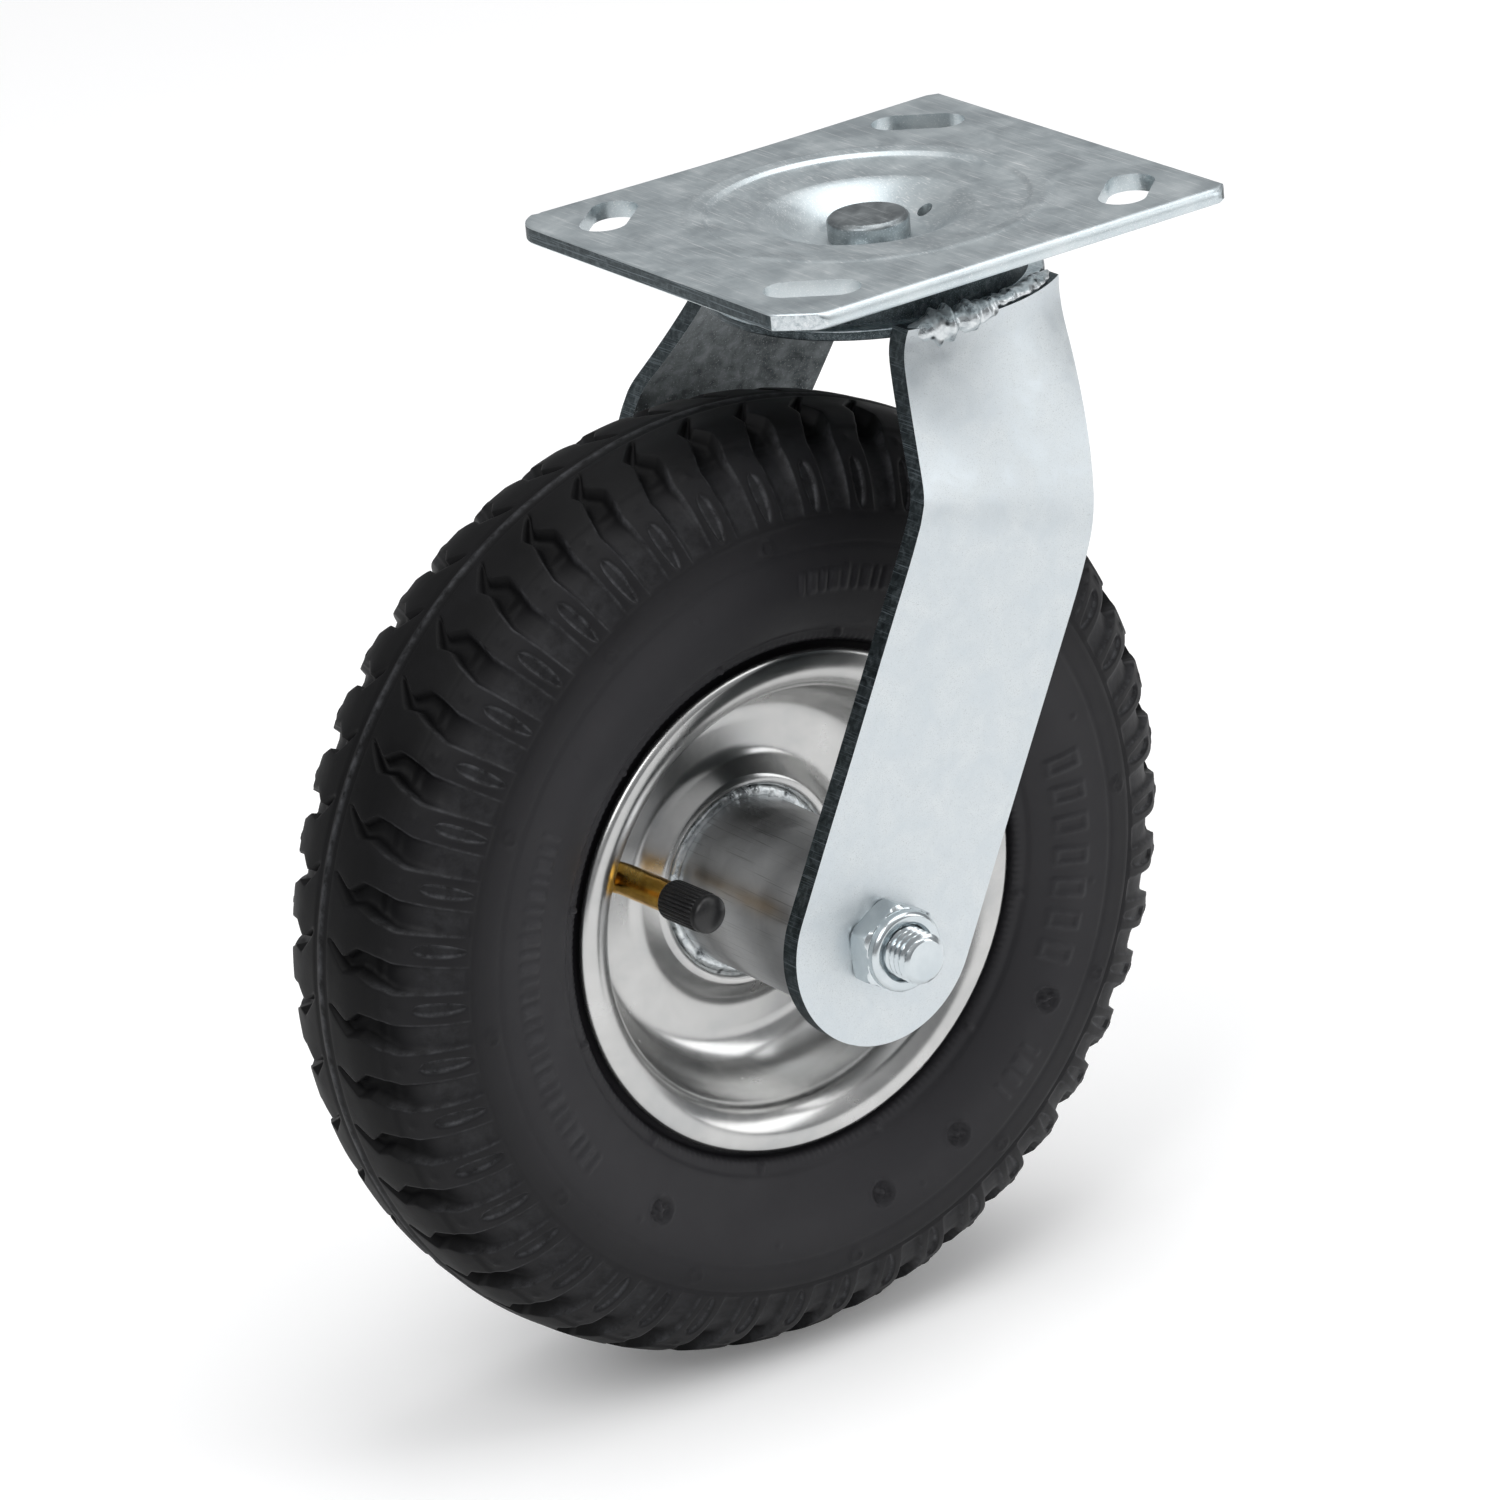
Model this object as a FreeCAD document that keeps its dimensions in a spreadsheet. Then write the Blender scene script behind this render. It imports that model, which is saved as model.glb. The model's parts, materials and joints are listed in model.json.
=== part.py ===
import FreeCAD, Part
import math
import os
import Sketcher

# Gate wheel: a swivel plate castor with a pneumatic 2.50-4 tyre.  Millimetres, +Z up.
# Origin: centre of the top face of the mounting plate, on the swivel axis.
# The wheel trails to -X and its axle runs along Y; "near" is the -Y (nut) side.

V = FreeCAD.Vector
doc = FreeCAD.newDocument("GateWheel")

sizeTable = [
    ("plateLength", 121.5), ("plateWidth", 112.0), ("plateThick", 4.0),
    ("slotLength", 22.0), ("slotWidth", 11.0), ("slotX", 44.0), ("slotY", 39.5),
    ("cornerCut", 9.0), ("cornerNip", 2.5), ("cornerRound", 10.0),
    ("dishStep", 0.9), ("bowlDepth", 7.8), ("pinRadius", 6.0), ("pinTop", 2.6),
    ("upperBall", 3.0), ("lowerPitch", 14.0), ("lowerBall", 2.5), ("raceGap", 0.05),
    ("crownRadius", 39.0), ("brimThick", 2.4),
    ("trail", 53.5), ("tyreTop", 35.4),
    ("legThick", 5.0), ("legWidth", 49.0), ("legFace", 58.4), ("legFall", 33.5),
    ("topLeft", 19.3), ("topRight", 26.3), ("bladeLeft", 31.4), ("bladeRight", 15.4), ("heelDrop", 16.1),
    ("tyreRadius", 112.8), ("tyreHalf", 31.0), ("flangeRadius", 60.0), ("flangeHalf", 24.5), ("rimSheet", 2.0),
    ("tubeWall", 2.5), ("tubeHalf", 48.5), ("bearingWidth", 11.0), ("bearingSection", 10.0), ("ballRadius", 2.975),
    ("axleRadius", 6.0), ("sleeveWall", 1.33), ("boltProud", 6.7),
    ("nutFlats", 19.0), ("nutHeight", 9.0), ("headHeight", 7.5),
    ("valveLean", 159.5), ("valveRadius", 3.65), ("capRadius", 4.7),
]

sheet = doc.addObject("Spreadsheet::Sheet", "Sizes")
for row, (alias, value) in enumerate(sizeTable, 1):
    sheet.set("A%d" % row, alias)
    sheet.set("B%d" % row, str(value))
    sheet.setAlias("B%d" % row, alias)
doc.recompute()


class Size:
    """A number that carries its spreadsheet expression along through arithmetic."""

    def __init__(self, value, text):
        self.value = float(value)
        self.text = text

    def join(self, other, sign, result):
        return Size(result, "(%s %s %s)" % (self.text, sign, asSize(other).text))

    def __add__(self, other):
        return self.join(other, "+", self.value + asSize(other).value)

    def __sub__(self, other):
        return self.join(other, "-", self.value - asSize(other).value)

    def __mul__(self, other):
        return self.join(other, "*", self.value * asSize(other).value)

    def __truediv__(self, other):
        return self.join(other, "/", self.value / asSize(other).value)

    def __neg__(self):
        return Size(-self.value, "(0 - %s)" % self.text)

    def __radd__(self, other):
        return asSize(other) + self

    def __rsub__(self, other):
        return asSize(other) - self

    def __rmul__(self, other):
        return asSize(other) * self


def asSize(number):
    if isinstance(number, Size):
        return number
    return Size(number, "%.6f" % number)


def bind(target, path, size):
    """Keeps one property of an object equal to a spreadsheet expression."""
    target.setExpression(path, asSize(size).text)


S = {alias: Size(value, "Sizes." + alias) for alias, value in sizeTable}

# sizes that follow from the ones above, so that the pieces still meet when one is changed
pinHead = S["pinRadius"] + 3.55
bowlFloor = pinHead + 3.95
upperPitch = S["crownRadius"] - 8.0
bowlRadius = upperPitch - 6.0
dishRadius = upperPitch + 6.5
upperLevel = S["plateThick"] + S["dishStep"] + S["upperBall"] - 0.3
crownTop = upperLevel + S["upperBall"] - 0.6
crownFloor = S["bowlDepth"] + S["plateThick"] + 1.4
lowerLevel = crownFloor + S["lowerBall"] + 3.0
brimTop = crownTop + 7.2
legTop = brimTop - 0.7
legBend = legTop + S["legFall"]
rolledRadius = S["crownRadius"] + 0.02 + S["legThick"]
axleDrop = S["tyreTop"] + S["tyreRadius"]
sleeveBore = S["axleRadius"] + 0.15
bearingBore = sleeveBore + S["sleeveWall"] + 0.02
boreRadius = bearingBore + S["bearingSection"]
ballPitch = (bearingBore + boreRadius) / 2
tubeRadius = boreRadius + S["tubeWall"]
axleEnd = S["legFace"] + S["nutHeight"] + S["boltProud"]
washerThick = 2.5
seatRadius = S["flangeRadius"] - 9.2
wheelCentre = (-S["trail"], 0, -axleDrop)
bearingMid = S["tubeHalf"] - S["bearingWidth"] / 2
bearingInner = S["tubeHalf"] - S["bearingWidth"]
legInner = S["legFace"] - S["legThick"]
parts = []


# ---- building helpers -------------------------------------------------------------------------

def place(item, where):
    item.Placement = FreeCAD.Placement(V(*[asSize(w).value for w in where]), FreeCAD.Rotation())
    for axis, w in zip("xyz", where):
        if isinstance(w, Size):
            bind(item, "Placement.Base." + axis, w)


def keep(item, label):
    """Names a finished sub-part and puts it on the export list."""
    item.Label = label
    parts.append(item)
    return item


def newBody(label, where=(0, 0, 0)):
    body = doc.addObject("PartDesign::Body", label + "_body")
    place(body, where)
    return keep(body, label)


def newSketch(body, plane, lift=0):
    sketch = body.newObject("Sketcher::SketchObject", body.Name + "_sketch")
    base = [f for f in body.Origin.OriginFeatures if f.Role == plane][0]
    sketch.AttachmentSupport = [(base, "")]
    sketch.MapMode = "FlatFace"
    sketch.AttachmentOffset = FreeCAD.Placement(V(0, 0, asSize(lift).value), FreeCAD.Rotation())
    if isinstance(lift, Size):
        bind(sketch, "AttachmentOffset.Base.z", lift)
    return sketch


def fix(sketch, kind, first, second, value):
    """Adds one dimension to a sketch; a Size stays live."""
    number = asSize(value).value
    if kind in ("Radius",):
        constraint = Sketcher.Constraint(kind, first, number)
    else:
        constraint = Sketcher.Constraint(kind, -1, 1, first, second, number)
    index = sketch.addConstraint(constraint)
    if isinstance(value, Size):
        bind(sketch, "Constraints[%d]" % index, value)


def fixPoint(sketch, geo, end, x, y):
    fix(sketch, "DistanceX", geo, end, x)
    fix(sketch, "DistanceY", geo, end, y)


def polygon(sketch, points):
    """Closed outline of straight lines, every corner dimensioned from the origin."""
    corners = [V(asSize(x).value, asSize(y).value, 0) for x, y in points]
    count = len(corners)
    for i in range(count):
        sketch.addGeometry(Part.LineSegment(corners[i], corners[(i + 1) % count]), False)
    for i in range(count):
        sketch.addConstraint(Sketcher.Constraint("Coincident", i, 2, (i + 1) % count, 1))
    for i, (x, y) in enumerate(points):
        fixPoint(sketch, i, 1, x, y)
    return sketch


def circle(sketch, x, y, radius):
    centre = V(asSize(x).value, asSize(y).value, 0)
    geo = sketch.addGeometry(Part.Circle(centre, V(0, 0, 1), asSize(radius).value), False)
    fix(sketch, "Radius", geo, 0, radius)
    fixPoint(sketch, geo, 3, x, y)
    return sketch


def turn(body, sketch, kind="PartDesign::Revolution", angle=360):
    feature = body.newObject(kind, body.Name + "_turn")
    feature.Profile = sketch
    feature.ReferenceAxis = (sketch, ["V_Axis"])
    feature.Angle = angle
    body.Tip = feature
    return feature


def turned(label, points, plane="XZ_Plane", where=(0, 0, 0)):
    """Solid of revolution: points are (radius, distance along the axis)."""
    body = newBody(label, where)
    turn(body, polygon(newSketch(body, plane), points))
    return body


def turnedOnAxle(label, points):
    return turned(label, points, "XY_Plane", wheelCentre)


def groove(body, sketch):
    return turn(body, sketch, "PartDesign::Groove")


def pad(body, sketch, length, reverse=False):
    feature = body.newObject("PartDesign::Pad", body.Name + "_pad")
    feature.Profile = sketch
    feature.Reversed = reverse
    feature.Length = asSize(length).value
    if isinstance(length, Size):
        bind(feature, "Length", length)
    body.Tip = feature
    return feature


def cutThrough(body, sketch, bothWays=False):
    feature = body.newObject("PartDesign::Pocket", body.Name + "_cut")
    feature.Profile = sketch
    feature.Type = "ThroughAll"
    feature.Midplane = bothWays
    body.Tip = feature
    return feature


def roundEdges(body, names, radius):
    base = body.Tip
    feature = body.newObject("PartDesign::Fillet", body.Name + "_round")
    feature.Base = (base, names)
    feature.Radius = asSize(radius).value
    if isinstance(radius, Size):
        bind(feature, "Radius", radius)
    body.Tip = feature
    return feature


def edgesWhere(body, test):
    doc.recompute()
    shape = body.Tip.Shape
    return ["Edge%d" % (i + 1) for i, edge in enumerate(shape.Edges) if test(edge)]


def ringEdges(body, spots, axis="z"):
    """Circular edges lying at the given (radius, distance along the axis) spots."""
    def isSpot(edge):
        if edge.Curve.TypeId != "Part::GeomCircle":
            return False
        along = getattr(edge.Curve.Center, axis)
        for radius, level in spots:
            if abs(edge.Curve.Radius - asSize(radius).value) < 0.02 and abs(along - asSize(level).value) < 0.02:
                return True
        return False
    return edgesWhere(body, isSpot)


def mirrored(source, label):
    """The same sub-part on the other side of the swivel plane."""
    copy = doc.addObject("Part::Mirroring", label + "_mirror")
    copy.Source = source
    copy.Normal = V(0, 1, 0)
    return keep(copy, label)


def ballRing(label, count, pitch, radius, axis, where):
    """Evenly spaced balls about the Z or the Y axis, kept as one group of solids."""
    balls = []
    for i in range(count):
        angle = 2 * math.pi * i / count
        ball = doc.addObject("Part::Sphere", label + "_ball")
        bind(ball, "Radius", radius)
        across = pitch * math.cos(angle)
        round_ = pitch * math.sin(angle)
        offset = (across, round_, 0) if axis == "z" else (across, 0, round_)
        place(ball, [asSize(w) + o for w, o in zip(where, offset)])
        balls.append(ball)
    group = doc.addObject("Part::Compound", label + "_group")
    group.Links = balls
    return keep(group, label)


# ---- mounting plate and kingpin ---------------------------------------------------------------

def slotOutline(sketch, x, y, degrees):
    """One obround slot: two half circles joined by tangent lines."""
    c = math.cos(math.radians(degrees))
    s = math.sin(math.radians(degrees))
    reach = (S["slotLength"] - S["slotWidth"]) / 2
    radius = S["slotWidth"] / 2
    ends = [(x - reach * c, y - reach * s), (x + reach * c, y + reach * s)]
    r = radius.value
    first = len(sketch.Geometry)
    spots = [V(e[0].value, e[1].value, 0) for e in ends]
    side = V(-s * r, c * r, 0)
    start = math.radians(degrees + 90)
    arcs = [Part.ArcOfCircle(Part.Circle(spots[0], V(0, 0, 1), r), start, start + math.pi),
            Part.ArcOfCircle(Part.Circle(spots[1], V(0, 0, 1), r), start - math.pi, start)]
    sketch.addGeometry(arcs[0], False)
    sketch.addGeometry(Part.LineSegment(spots[0] - side, spots[1] - side), False)
    sketch.addGeometry(arcs[1], False)
    sketch.addGeometry(Part.LineSegment(spots[1] + side, spots[0] + side), False)
    for i in range(4):
        sketch.addConstraint(Sketcher.Constraint("Tangent", first + i, 2, first + (i + 1) % 4, 1))
    fix(sketch, "Radius", first, 0, radius)
    fixPoint(sketch, first, 3, ends[0][0], ends[0][1])
    fixPoint(sketch, first + 2, 3, ends[1][0], ends[1][1])


greaseSide = 0.7
greaseRadius = 1.8


def topPlate():
    body = newBody("top_plate")
    halfL = S["plateLength"] / 2
    halfW = S["plateWidth"] / 2
    cut = S["cornerCut"]
    nip = S["cornerNip"]
    outline = [(-halfL, -halfW + cut), (-halfL + cut, -halfW), (halfL - nip, -halfW), (halfL, -halfW + nip),
               (halfL, halfW - nip), (halfL - nip, halfW), (-halfL, halfW)]
    pad(body, polygon(newSketch(body, "XY_Plane"), outline), S["plateThick"], True)

    def isRoundCorner(edge):
        mid = edge.BoundBox.Center
        return abs(mid.x + halfL.value) < 0.01 and abs(mid.y - halfW.value) < 0.01
    roundEdges(body, edgesWhere(body, isRoundCorner), S["cornerRound"])

    def isMillEdge(edge):
        box = edge.BoundBox
        return box.XLength > 80 and abs(abs(box.Center.y) - halfW.value) < 0.01
    roundEdges(body, edgesWhere(body, isMillEdge), 1.8)

    # the pressed dish: its underside is added, its hollow is turned out of the top
    under = -S["plateThick"]
    step = S["dishStep"]
    deep = S["bowlDepth"]
    rim = dishRadius
    cup = [(0, under / 2), (rim + 4.5, under / 2), (rim + 4.5, under), (rim + 1.0, under - step),
           (bowlRadius + 2.0, under - step - 0.6), (bowlFloor + 3.0, under - deep), (0, under - deep)]
    turn(body, polygon(newSketch(body, "XZ_Plane"), cup))
    roundEdges(body, ringEdges(body, [cup[4], cup[5]]), 2.5)
    hollow = [(0, 2), (rim, 2), (rim, 0), (rim - 0.8, -step), (bowlRadius, -step - 0.6),
              (bowlFloor, -deep), (0, -deep)]
    groove(body, polygon(newSketch(body, "XZ_Plane"), hollow))
    roundEdges(body, ringEdges(body, [hollow[4], hollow[5]]), 5.0)

    race = newSketch(body, "XZ_Plane")
    circle(race, upperPitch, -upperLevel, S["upperBall"] + S["raceGap"])
    groove(body, race)

    slots = newSketch(body, "XY_Plane")
    for sideX in (-1, 1):
        for sideY in (-1, 1):
            slotOutline(slots, S["slotX"] * sideX, S["slotY"] * sideY, -42.0 * sideX * sideY)
    cutThrough(body, slots, True)
    holes = newSketch(body, "XY_Plane")
    circle(holes, 0, 0, S["pinRadius"] + 0.02)
    circle(holes, bowlFloor + 2.9, greaseSide, greaseRadius)
    cutThrough(body, holes, True)
    return body


raceDeep = S["lowerBall"] + 3.2


def kingpin():
    top = -S["pinTop"]
    floor = -S["bowlDepth"]
    seat = -(lowerLevel + raceDeep)
    pin = S["pinRadius"]
    head = pinHead
    turned("kingpin", [(0, top), (head - 0.7, top), (head, top - 0.6), (head, floor), (pin, floor),
                       (pin, seat), (pin + 3.2, seat), (pin + 2.6, seat - 1.9), (pin + 0.4, seat - 3.0),
                       (0, seat - 3.0)])


def lowerRace():
    bore = S["pinRadius"] + 0.02
    outer = S["lowerPitch"] + S["lowerBall"] + 2.0
    top = -(lowerLevel + S["lowerBall"] - 0.6)
    base = -(lowerLevel + raceDeep)
    body = turned("lower_race", [(bore, top), (outer - 0.5, top), (outer, top - 0.5), (outer, base + 0.5),
                                 (outer - 0.5, base), (bore, base)])
    race = newSketch(body, "XZ_Plane")
    circle(race, S["lowerPitch"], -lowerLevel, S["lowerBall"] + S["raceGap"])
    groove(body, race)


def ballCage(label, count, pitch, radius, level, half, thick):
    """Flat pressed ring with one round pocket per ball."""
    body = turned(label, [(pitch - half, -level - thick), (pitch + half, -level - thick),
                          (pitch + half, -level + thick), (pitch - half, -level + thick)])
    pockets = newSketch(body, "XY_Plane")
    for i in range(count):
        angle = 2 * math.pi * i / count
        circle(pockets, pitch * math.cos(angle), pitch * math.sin(angle), radius + 0.03)
    cutThrough(body, pockets, True)


# ---- fork -------------------------------------------------------------------------------------

def forkCrown():
    brim = -brimTop
    low = brim - S["brimThick"]
    top = -crownTop
    rim = S["crownRadius"]
    bore = S["pinRadius"] + 1.5
    wall = rim - 3.8
    inner = rim - 7.6
    seat = -(lowerLevel - S["lowerBall"] + 0.6)
    body = turned("fork_crown", [(bore, -crownFloor), (bowlFloor + 4.5, -crownFloor), (bowlRadius, top),
                                 (wall - 1.4, top), (wall, top - 1.4), (wall, brim), (rim, brim), (rim, low),
                                 (inner + 1.2, low), (inner, low + 1.2), (inner, top - 3.6),
                                 (bowlRadius + 1.6, top - 3.6), (S["lowerPitch"] + 5.4, seat), (bore, seat)])
    races = newSketch(body, "XZ_Plane")
    circle(races, upperPitch, -upperLevel, S["upperBall"] + S["raceGap"])
    circle(races, S["lowerPitch"], -lowerLevel, S["lowerBall"] + S["raceGap"])
    groove(body, races)


def legSection(body, height, tilt, across, thick, bend):
    """Slice of a leg on a plane that dips towards the heel: two concentric arcs, nearly flat low down."""
    left, right = across
    face, radius = bend
    sketch = newSketch(body, "XY_Plane", -height)
    dipped = FreeCAD.Rotation(V(0, 1, 0), tilt)
    sketch.AttachmentOffset = FreeCAD.Placement(sketch.AttachmentOffset.Base, dipped)
    spots = []
    for depth in (asSize(0), asSize(thick)):
        r = radius - depth
        mid = face - radius
        row = [V(x.value, mid.value + math.sqrt(r.value ** 2 - x.value ** 2), 0) for x in (right, left)]
        spots.append((row, mid, r))
    for k, (row, mid, r) in enumerate(spots):
        angles = [math.atan2(p.y - mid.value, p.x) for p in row]
        curve = Part.ArcOfCircle(Part.Circle(V(0, mid.value, 0), V(0, 0, 1), r.value), angles[0], angles[1])
        geo = sketch.addGeometry(curve, False)
        fix(sketch, "Radius", geo, 0, r)
        fixPoint(sketch, geo, 3, 0, mid)
        fix(sketch, "DistanceX", geo, 1, right)
        fix(sketch, "DistanceX", geo, 2, left)
    sketch.addGeometry(Part.LineSegment(spots[0][0][1], spots[1][0][1]), False)
    sketch.addGeometry(Part.LineSegment(spots[0][0][0], spots[1][0][0]), False)
    sketch.addConstraint(Sketcher.Constraint("Coincident", 2, 1, 0, 2))
    sketch.addConstraint(Sketcher.Constraint("Coincident", 2, 2, 1, 2))
    sketch.addConstraint(Sketcher.Constraint("Coincident", 3, 1, 0, 1))
    sketch.addConstraint(Sketcher.Constraint("Coincident", 3, 2, 1, 1))
    return sketch


# how softly the splay of a leg starts and stops, as a share of its fall
legEase = 0.04


def forkLeg():
    """Flat bar, rolled to the crown at its top and splayed out to a flat raked blade."""
    body = newBody("fork_leg_far")
    topR = rolledRadius
    steps = 9
    sections = []
    topEdges = (-S["topLeft"], S["topRight"])
    lowEdges = (-S["bladeLeft"], S["bladeRight"])
    levels = [(0.0, 0.0)] + [(0.12 + 0.88 * i / steps, i / steps) for i in range(steps + 1)]
    for down, s in levels:
        f = s - legEase * math.sin(2 * math.pi * s)
        left, right = [a * (1 - s) + b * s for a, b in zip(topEdges, lowEdges)]
        dip = S["heelDrop"] * down
        height = legTop + S["legFall"] * down - dip * left / (right - left)
        tilt = math.atan2(dip.value, (right - left).value)
        edges = (left / math.cos(tilt), right / math.cos(tilt))
        face = topR * (1 - f) + S["legFace"] * f
        bend = topR / max(0.011, (1 - f) ** 1.3)
        thick = S["legThick"] * (1 + 0.1 * math.sin(math.pi * f))
        sections.append(legSection(body, height, math.degrees(tilt), edges, thick, (face, bend)))
    loft = body.newObject("PartDesign::AdditiveLoft", "leg_loft")
    loft.Profile = sections[0]
    loft.Sections = sections[1:]
    loft.Ruled = True
    body.Tip = loft

    blade = newSketch(body, "XZ_Plane", -S["legFace"])
    left, right = lowEdges
    bladeOutline(blade, left, right, -legBend)
    pad(body, blade, S["legThick"])
    hole = newSketch(body, "XZ_Plane")
    circle(hole, -S["trail"], -axleDrop, S["axleRadius"] + 0.3)
    cutThrough(body, hole, True)
    return body


def bladeOutline(sketch, left, right, top):
    """Lower blade: two edges tangent to the rounded end about the axle."""
    centre = V(-S["trail"].value, -axleDrop.value, 0)
    r = (S["legWidth"] / 2).value
    upLeft = V(left.value, top.value, 0)
    heel = V(right.value, (top - S["heelDrop"]).value, 0)
    touch = [tangentPoint(upLeft, centre, r, 1), tangentPoint(heel, centre, r, -1)]
    angles = [math.atan2(p.y - centre.y, p.x - centre.x) for p in touch]
    arc = Part.ArcOfCircle(Part.Circle(centre, V(0, 0, 1), r), angles[0], angles[1] + 2 * math.pi)
    sketch.addGeometry(Part.LineSegment(upLeft, touch[0]), False)
    sketch.addGeometry(arc, False)
    sketch.addGeometry(Part.LineSegment(touch[1], heel), False)
    sketch.addGeometry(Part.LineSegment(heel, upLeft), False)
    sketch.addConstraint(Sketcher.Constraint("Tangent", 0, 2, 1, 1))
    sketch.addConstraint(Sketcher.Constraint("Tangent", 1, 2, 2, 1))
    for i in (2, 3):
        sketch.addConstraint(Sketcher.Constraint("Coincident", i, 2, (i + 1) % 4, 1))
    fix(sketch, "Radius", 1, 0, S["legWidth"] / 2)
    fixPoint(sketch, 1, 3, -S["trail"], -axleDrop)
    fixPoint(sketch, 0, 1, left, top)
    fixPoint(sketch, 3, 1, right, top - S["heelDrop"])


def tangentPoint(start, centre, radius, side):
    """Where a line from start touches the circle, on its left (1) or right (-1)."""
    gap = start.sub(centre)
    spread = math.acos(radius / gap.Length)
    angle = math.atan2(gap.y, gap.x) + side * spread
    return V(centre.x + radius * math.cos(angle), centre.y + radius * math.sin(angle), 0)


def legWeld():
    """Fillet weld lying on the leg's end and the brim of the crown."""
    body = newBody("weld_far")
    start = math.degrees(math.acos(S["topRight"].value / rolledRadius.value)) + 0.5
    span = 180 - math.degrees(math.acos(S["topLeft"].value / rolledRadius.value)) - start
    body.Placement = FreeCAD.Placement(V(0, 0, 0), FreeCAD.Rotation(V(0, 0, 1), start))
    brim = -brimTop
    top = -legTop
    rim = S["crownRadius"]
    bead = [(rim - 3.0, brim), (rim, brim), (rim + 0.02, top), (rim + 4.7, top), (rim + 4.0, top + 1.6),
            (rim + 2.2, top + 2.9), (rim - 0.4, top + 2.9), (rim - 2.4, top + 1.3)]
    turn(body, polygon(newSketch(body, "XZ_Plane"), bead), angle=span)


# ---- axle -------------------------------------------------------------------------------------

def hexagon(sketch, flats):
    corner = flats / 2 / math.cos(math.pi / 6)
    points = []
    for i in range(6):
        angle = math.radians(60 * i + 30)
        points.append((corner * math.cos(angle), corner * math.sin(angle)))
    return polygon(sketch, points)


def hexChamfer(body, level, corner, outward):
    """Turns the corners off one end of a hexagon."""
    points = [(corner - 1.4, level + 0.6 * outward), (corner + 3, level + 0.6 * outward),
              (corner + 3, level - 2.0 * outward)]
    groove(body, polygon(newSketch(body, "XY_Plane"), points))


def axleBolt():
    body = newBody("axle_bolt", wheelCentre)
    seat = S["legFace"] + washerThick
    tip = -axleEnd
    r = S["axleRadius"] - 0.02
    pad(body, hexagon(newSketch(body, "XZ_Plane", -seat), S["nutFlats"]), S["headHeight"], True)
    shank = [(0, tip), (r - 1.2, tip), (r, tip + 1.2), (r, seat + 1), (0, seat + 1)]
    turn(body, polygon(newSketch(body, "XY_Plane"), shank))
    hexChamfer(body, seat + S["headHeight"], S["nutFlats"] * 0.57735, 1)


def axleNut():
    body = newBody("axle_nut", wheelCentre)
    seat = S["legFace"]
    high = S["nutHeight"]
    pad(body, hexagon(newSketch(body, "XZ_Plane", seat), S["nutFlats"]), high - 2.6)
    hexChamfer(body, -(seat + high - 2.6), S["nutFlats"] * 0.57735, -1)
    ring = S["axleRadius"] + 3.2
    collar = [(0, -(seat + 2)), (ring, -(seat + 2)), (ring, -(seat + high - 1.4)), (ring - 1.0, -(seat + high)),
              (0, -(seat + high))]
    turn(body, polygon(newSketch(body, "XY_Plane"), collar))
    hole = newSketch(body, "XZ_Plane")
    circle(hole, 0, 0, S["axleRadius"])
    cutThrough(body, hole, True)


def axleStack():
    """Washer, sleeve and spacers that clamp the bearings between the legs."""
    face = S["legFace"]
    hole = S["axleRadius"] + 0.6
    rim = S["axleRadius"] + 6.0
    sleeve = bearingBore - 0.02
    bore = bearingBore + 0.1
    turnedOnAxle("axle_washer", [(hole, face), (rim, face), (rim, face + washerThick), (hole, face + washerThick)])
    turnedOnAxle("axle_sleeve", [(sleeveBore, -legInner), (sleeve, -legInner), (sleeve, legInner),
                                 (sleeveBore, legInner)])
    turnedOnAxle("inner_spacer", [(bore, -bearingInner), (bore + 2.2, -bearingInner), (bore + 2.2, bearingInner),
                                  (bore, bearingInner)])
    outer = turnedOnAxle("outer_spacer_far", [(bore, S["tubeHalf"]), (bore + 2.8, S["tubeHalf"]),
                                              (bore + 2.8, legInner), (bore, legInner)])
    mirrored(outer, "outer_spacer_near")


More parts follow.
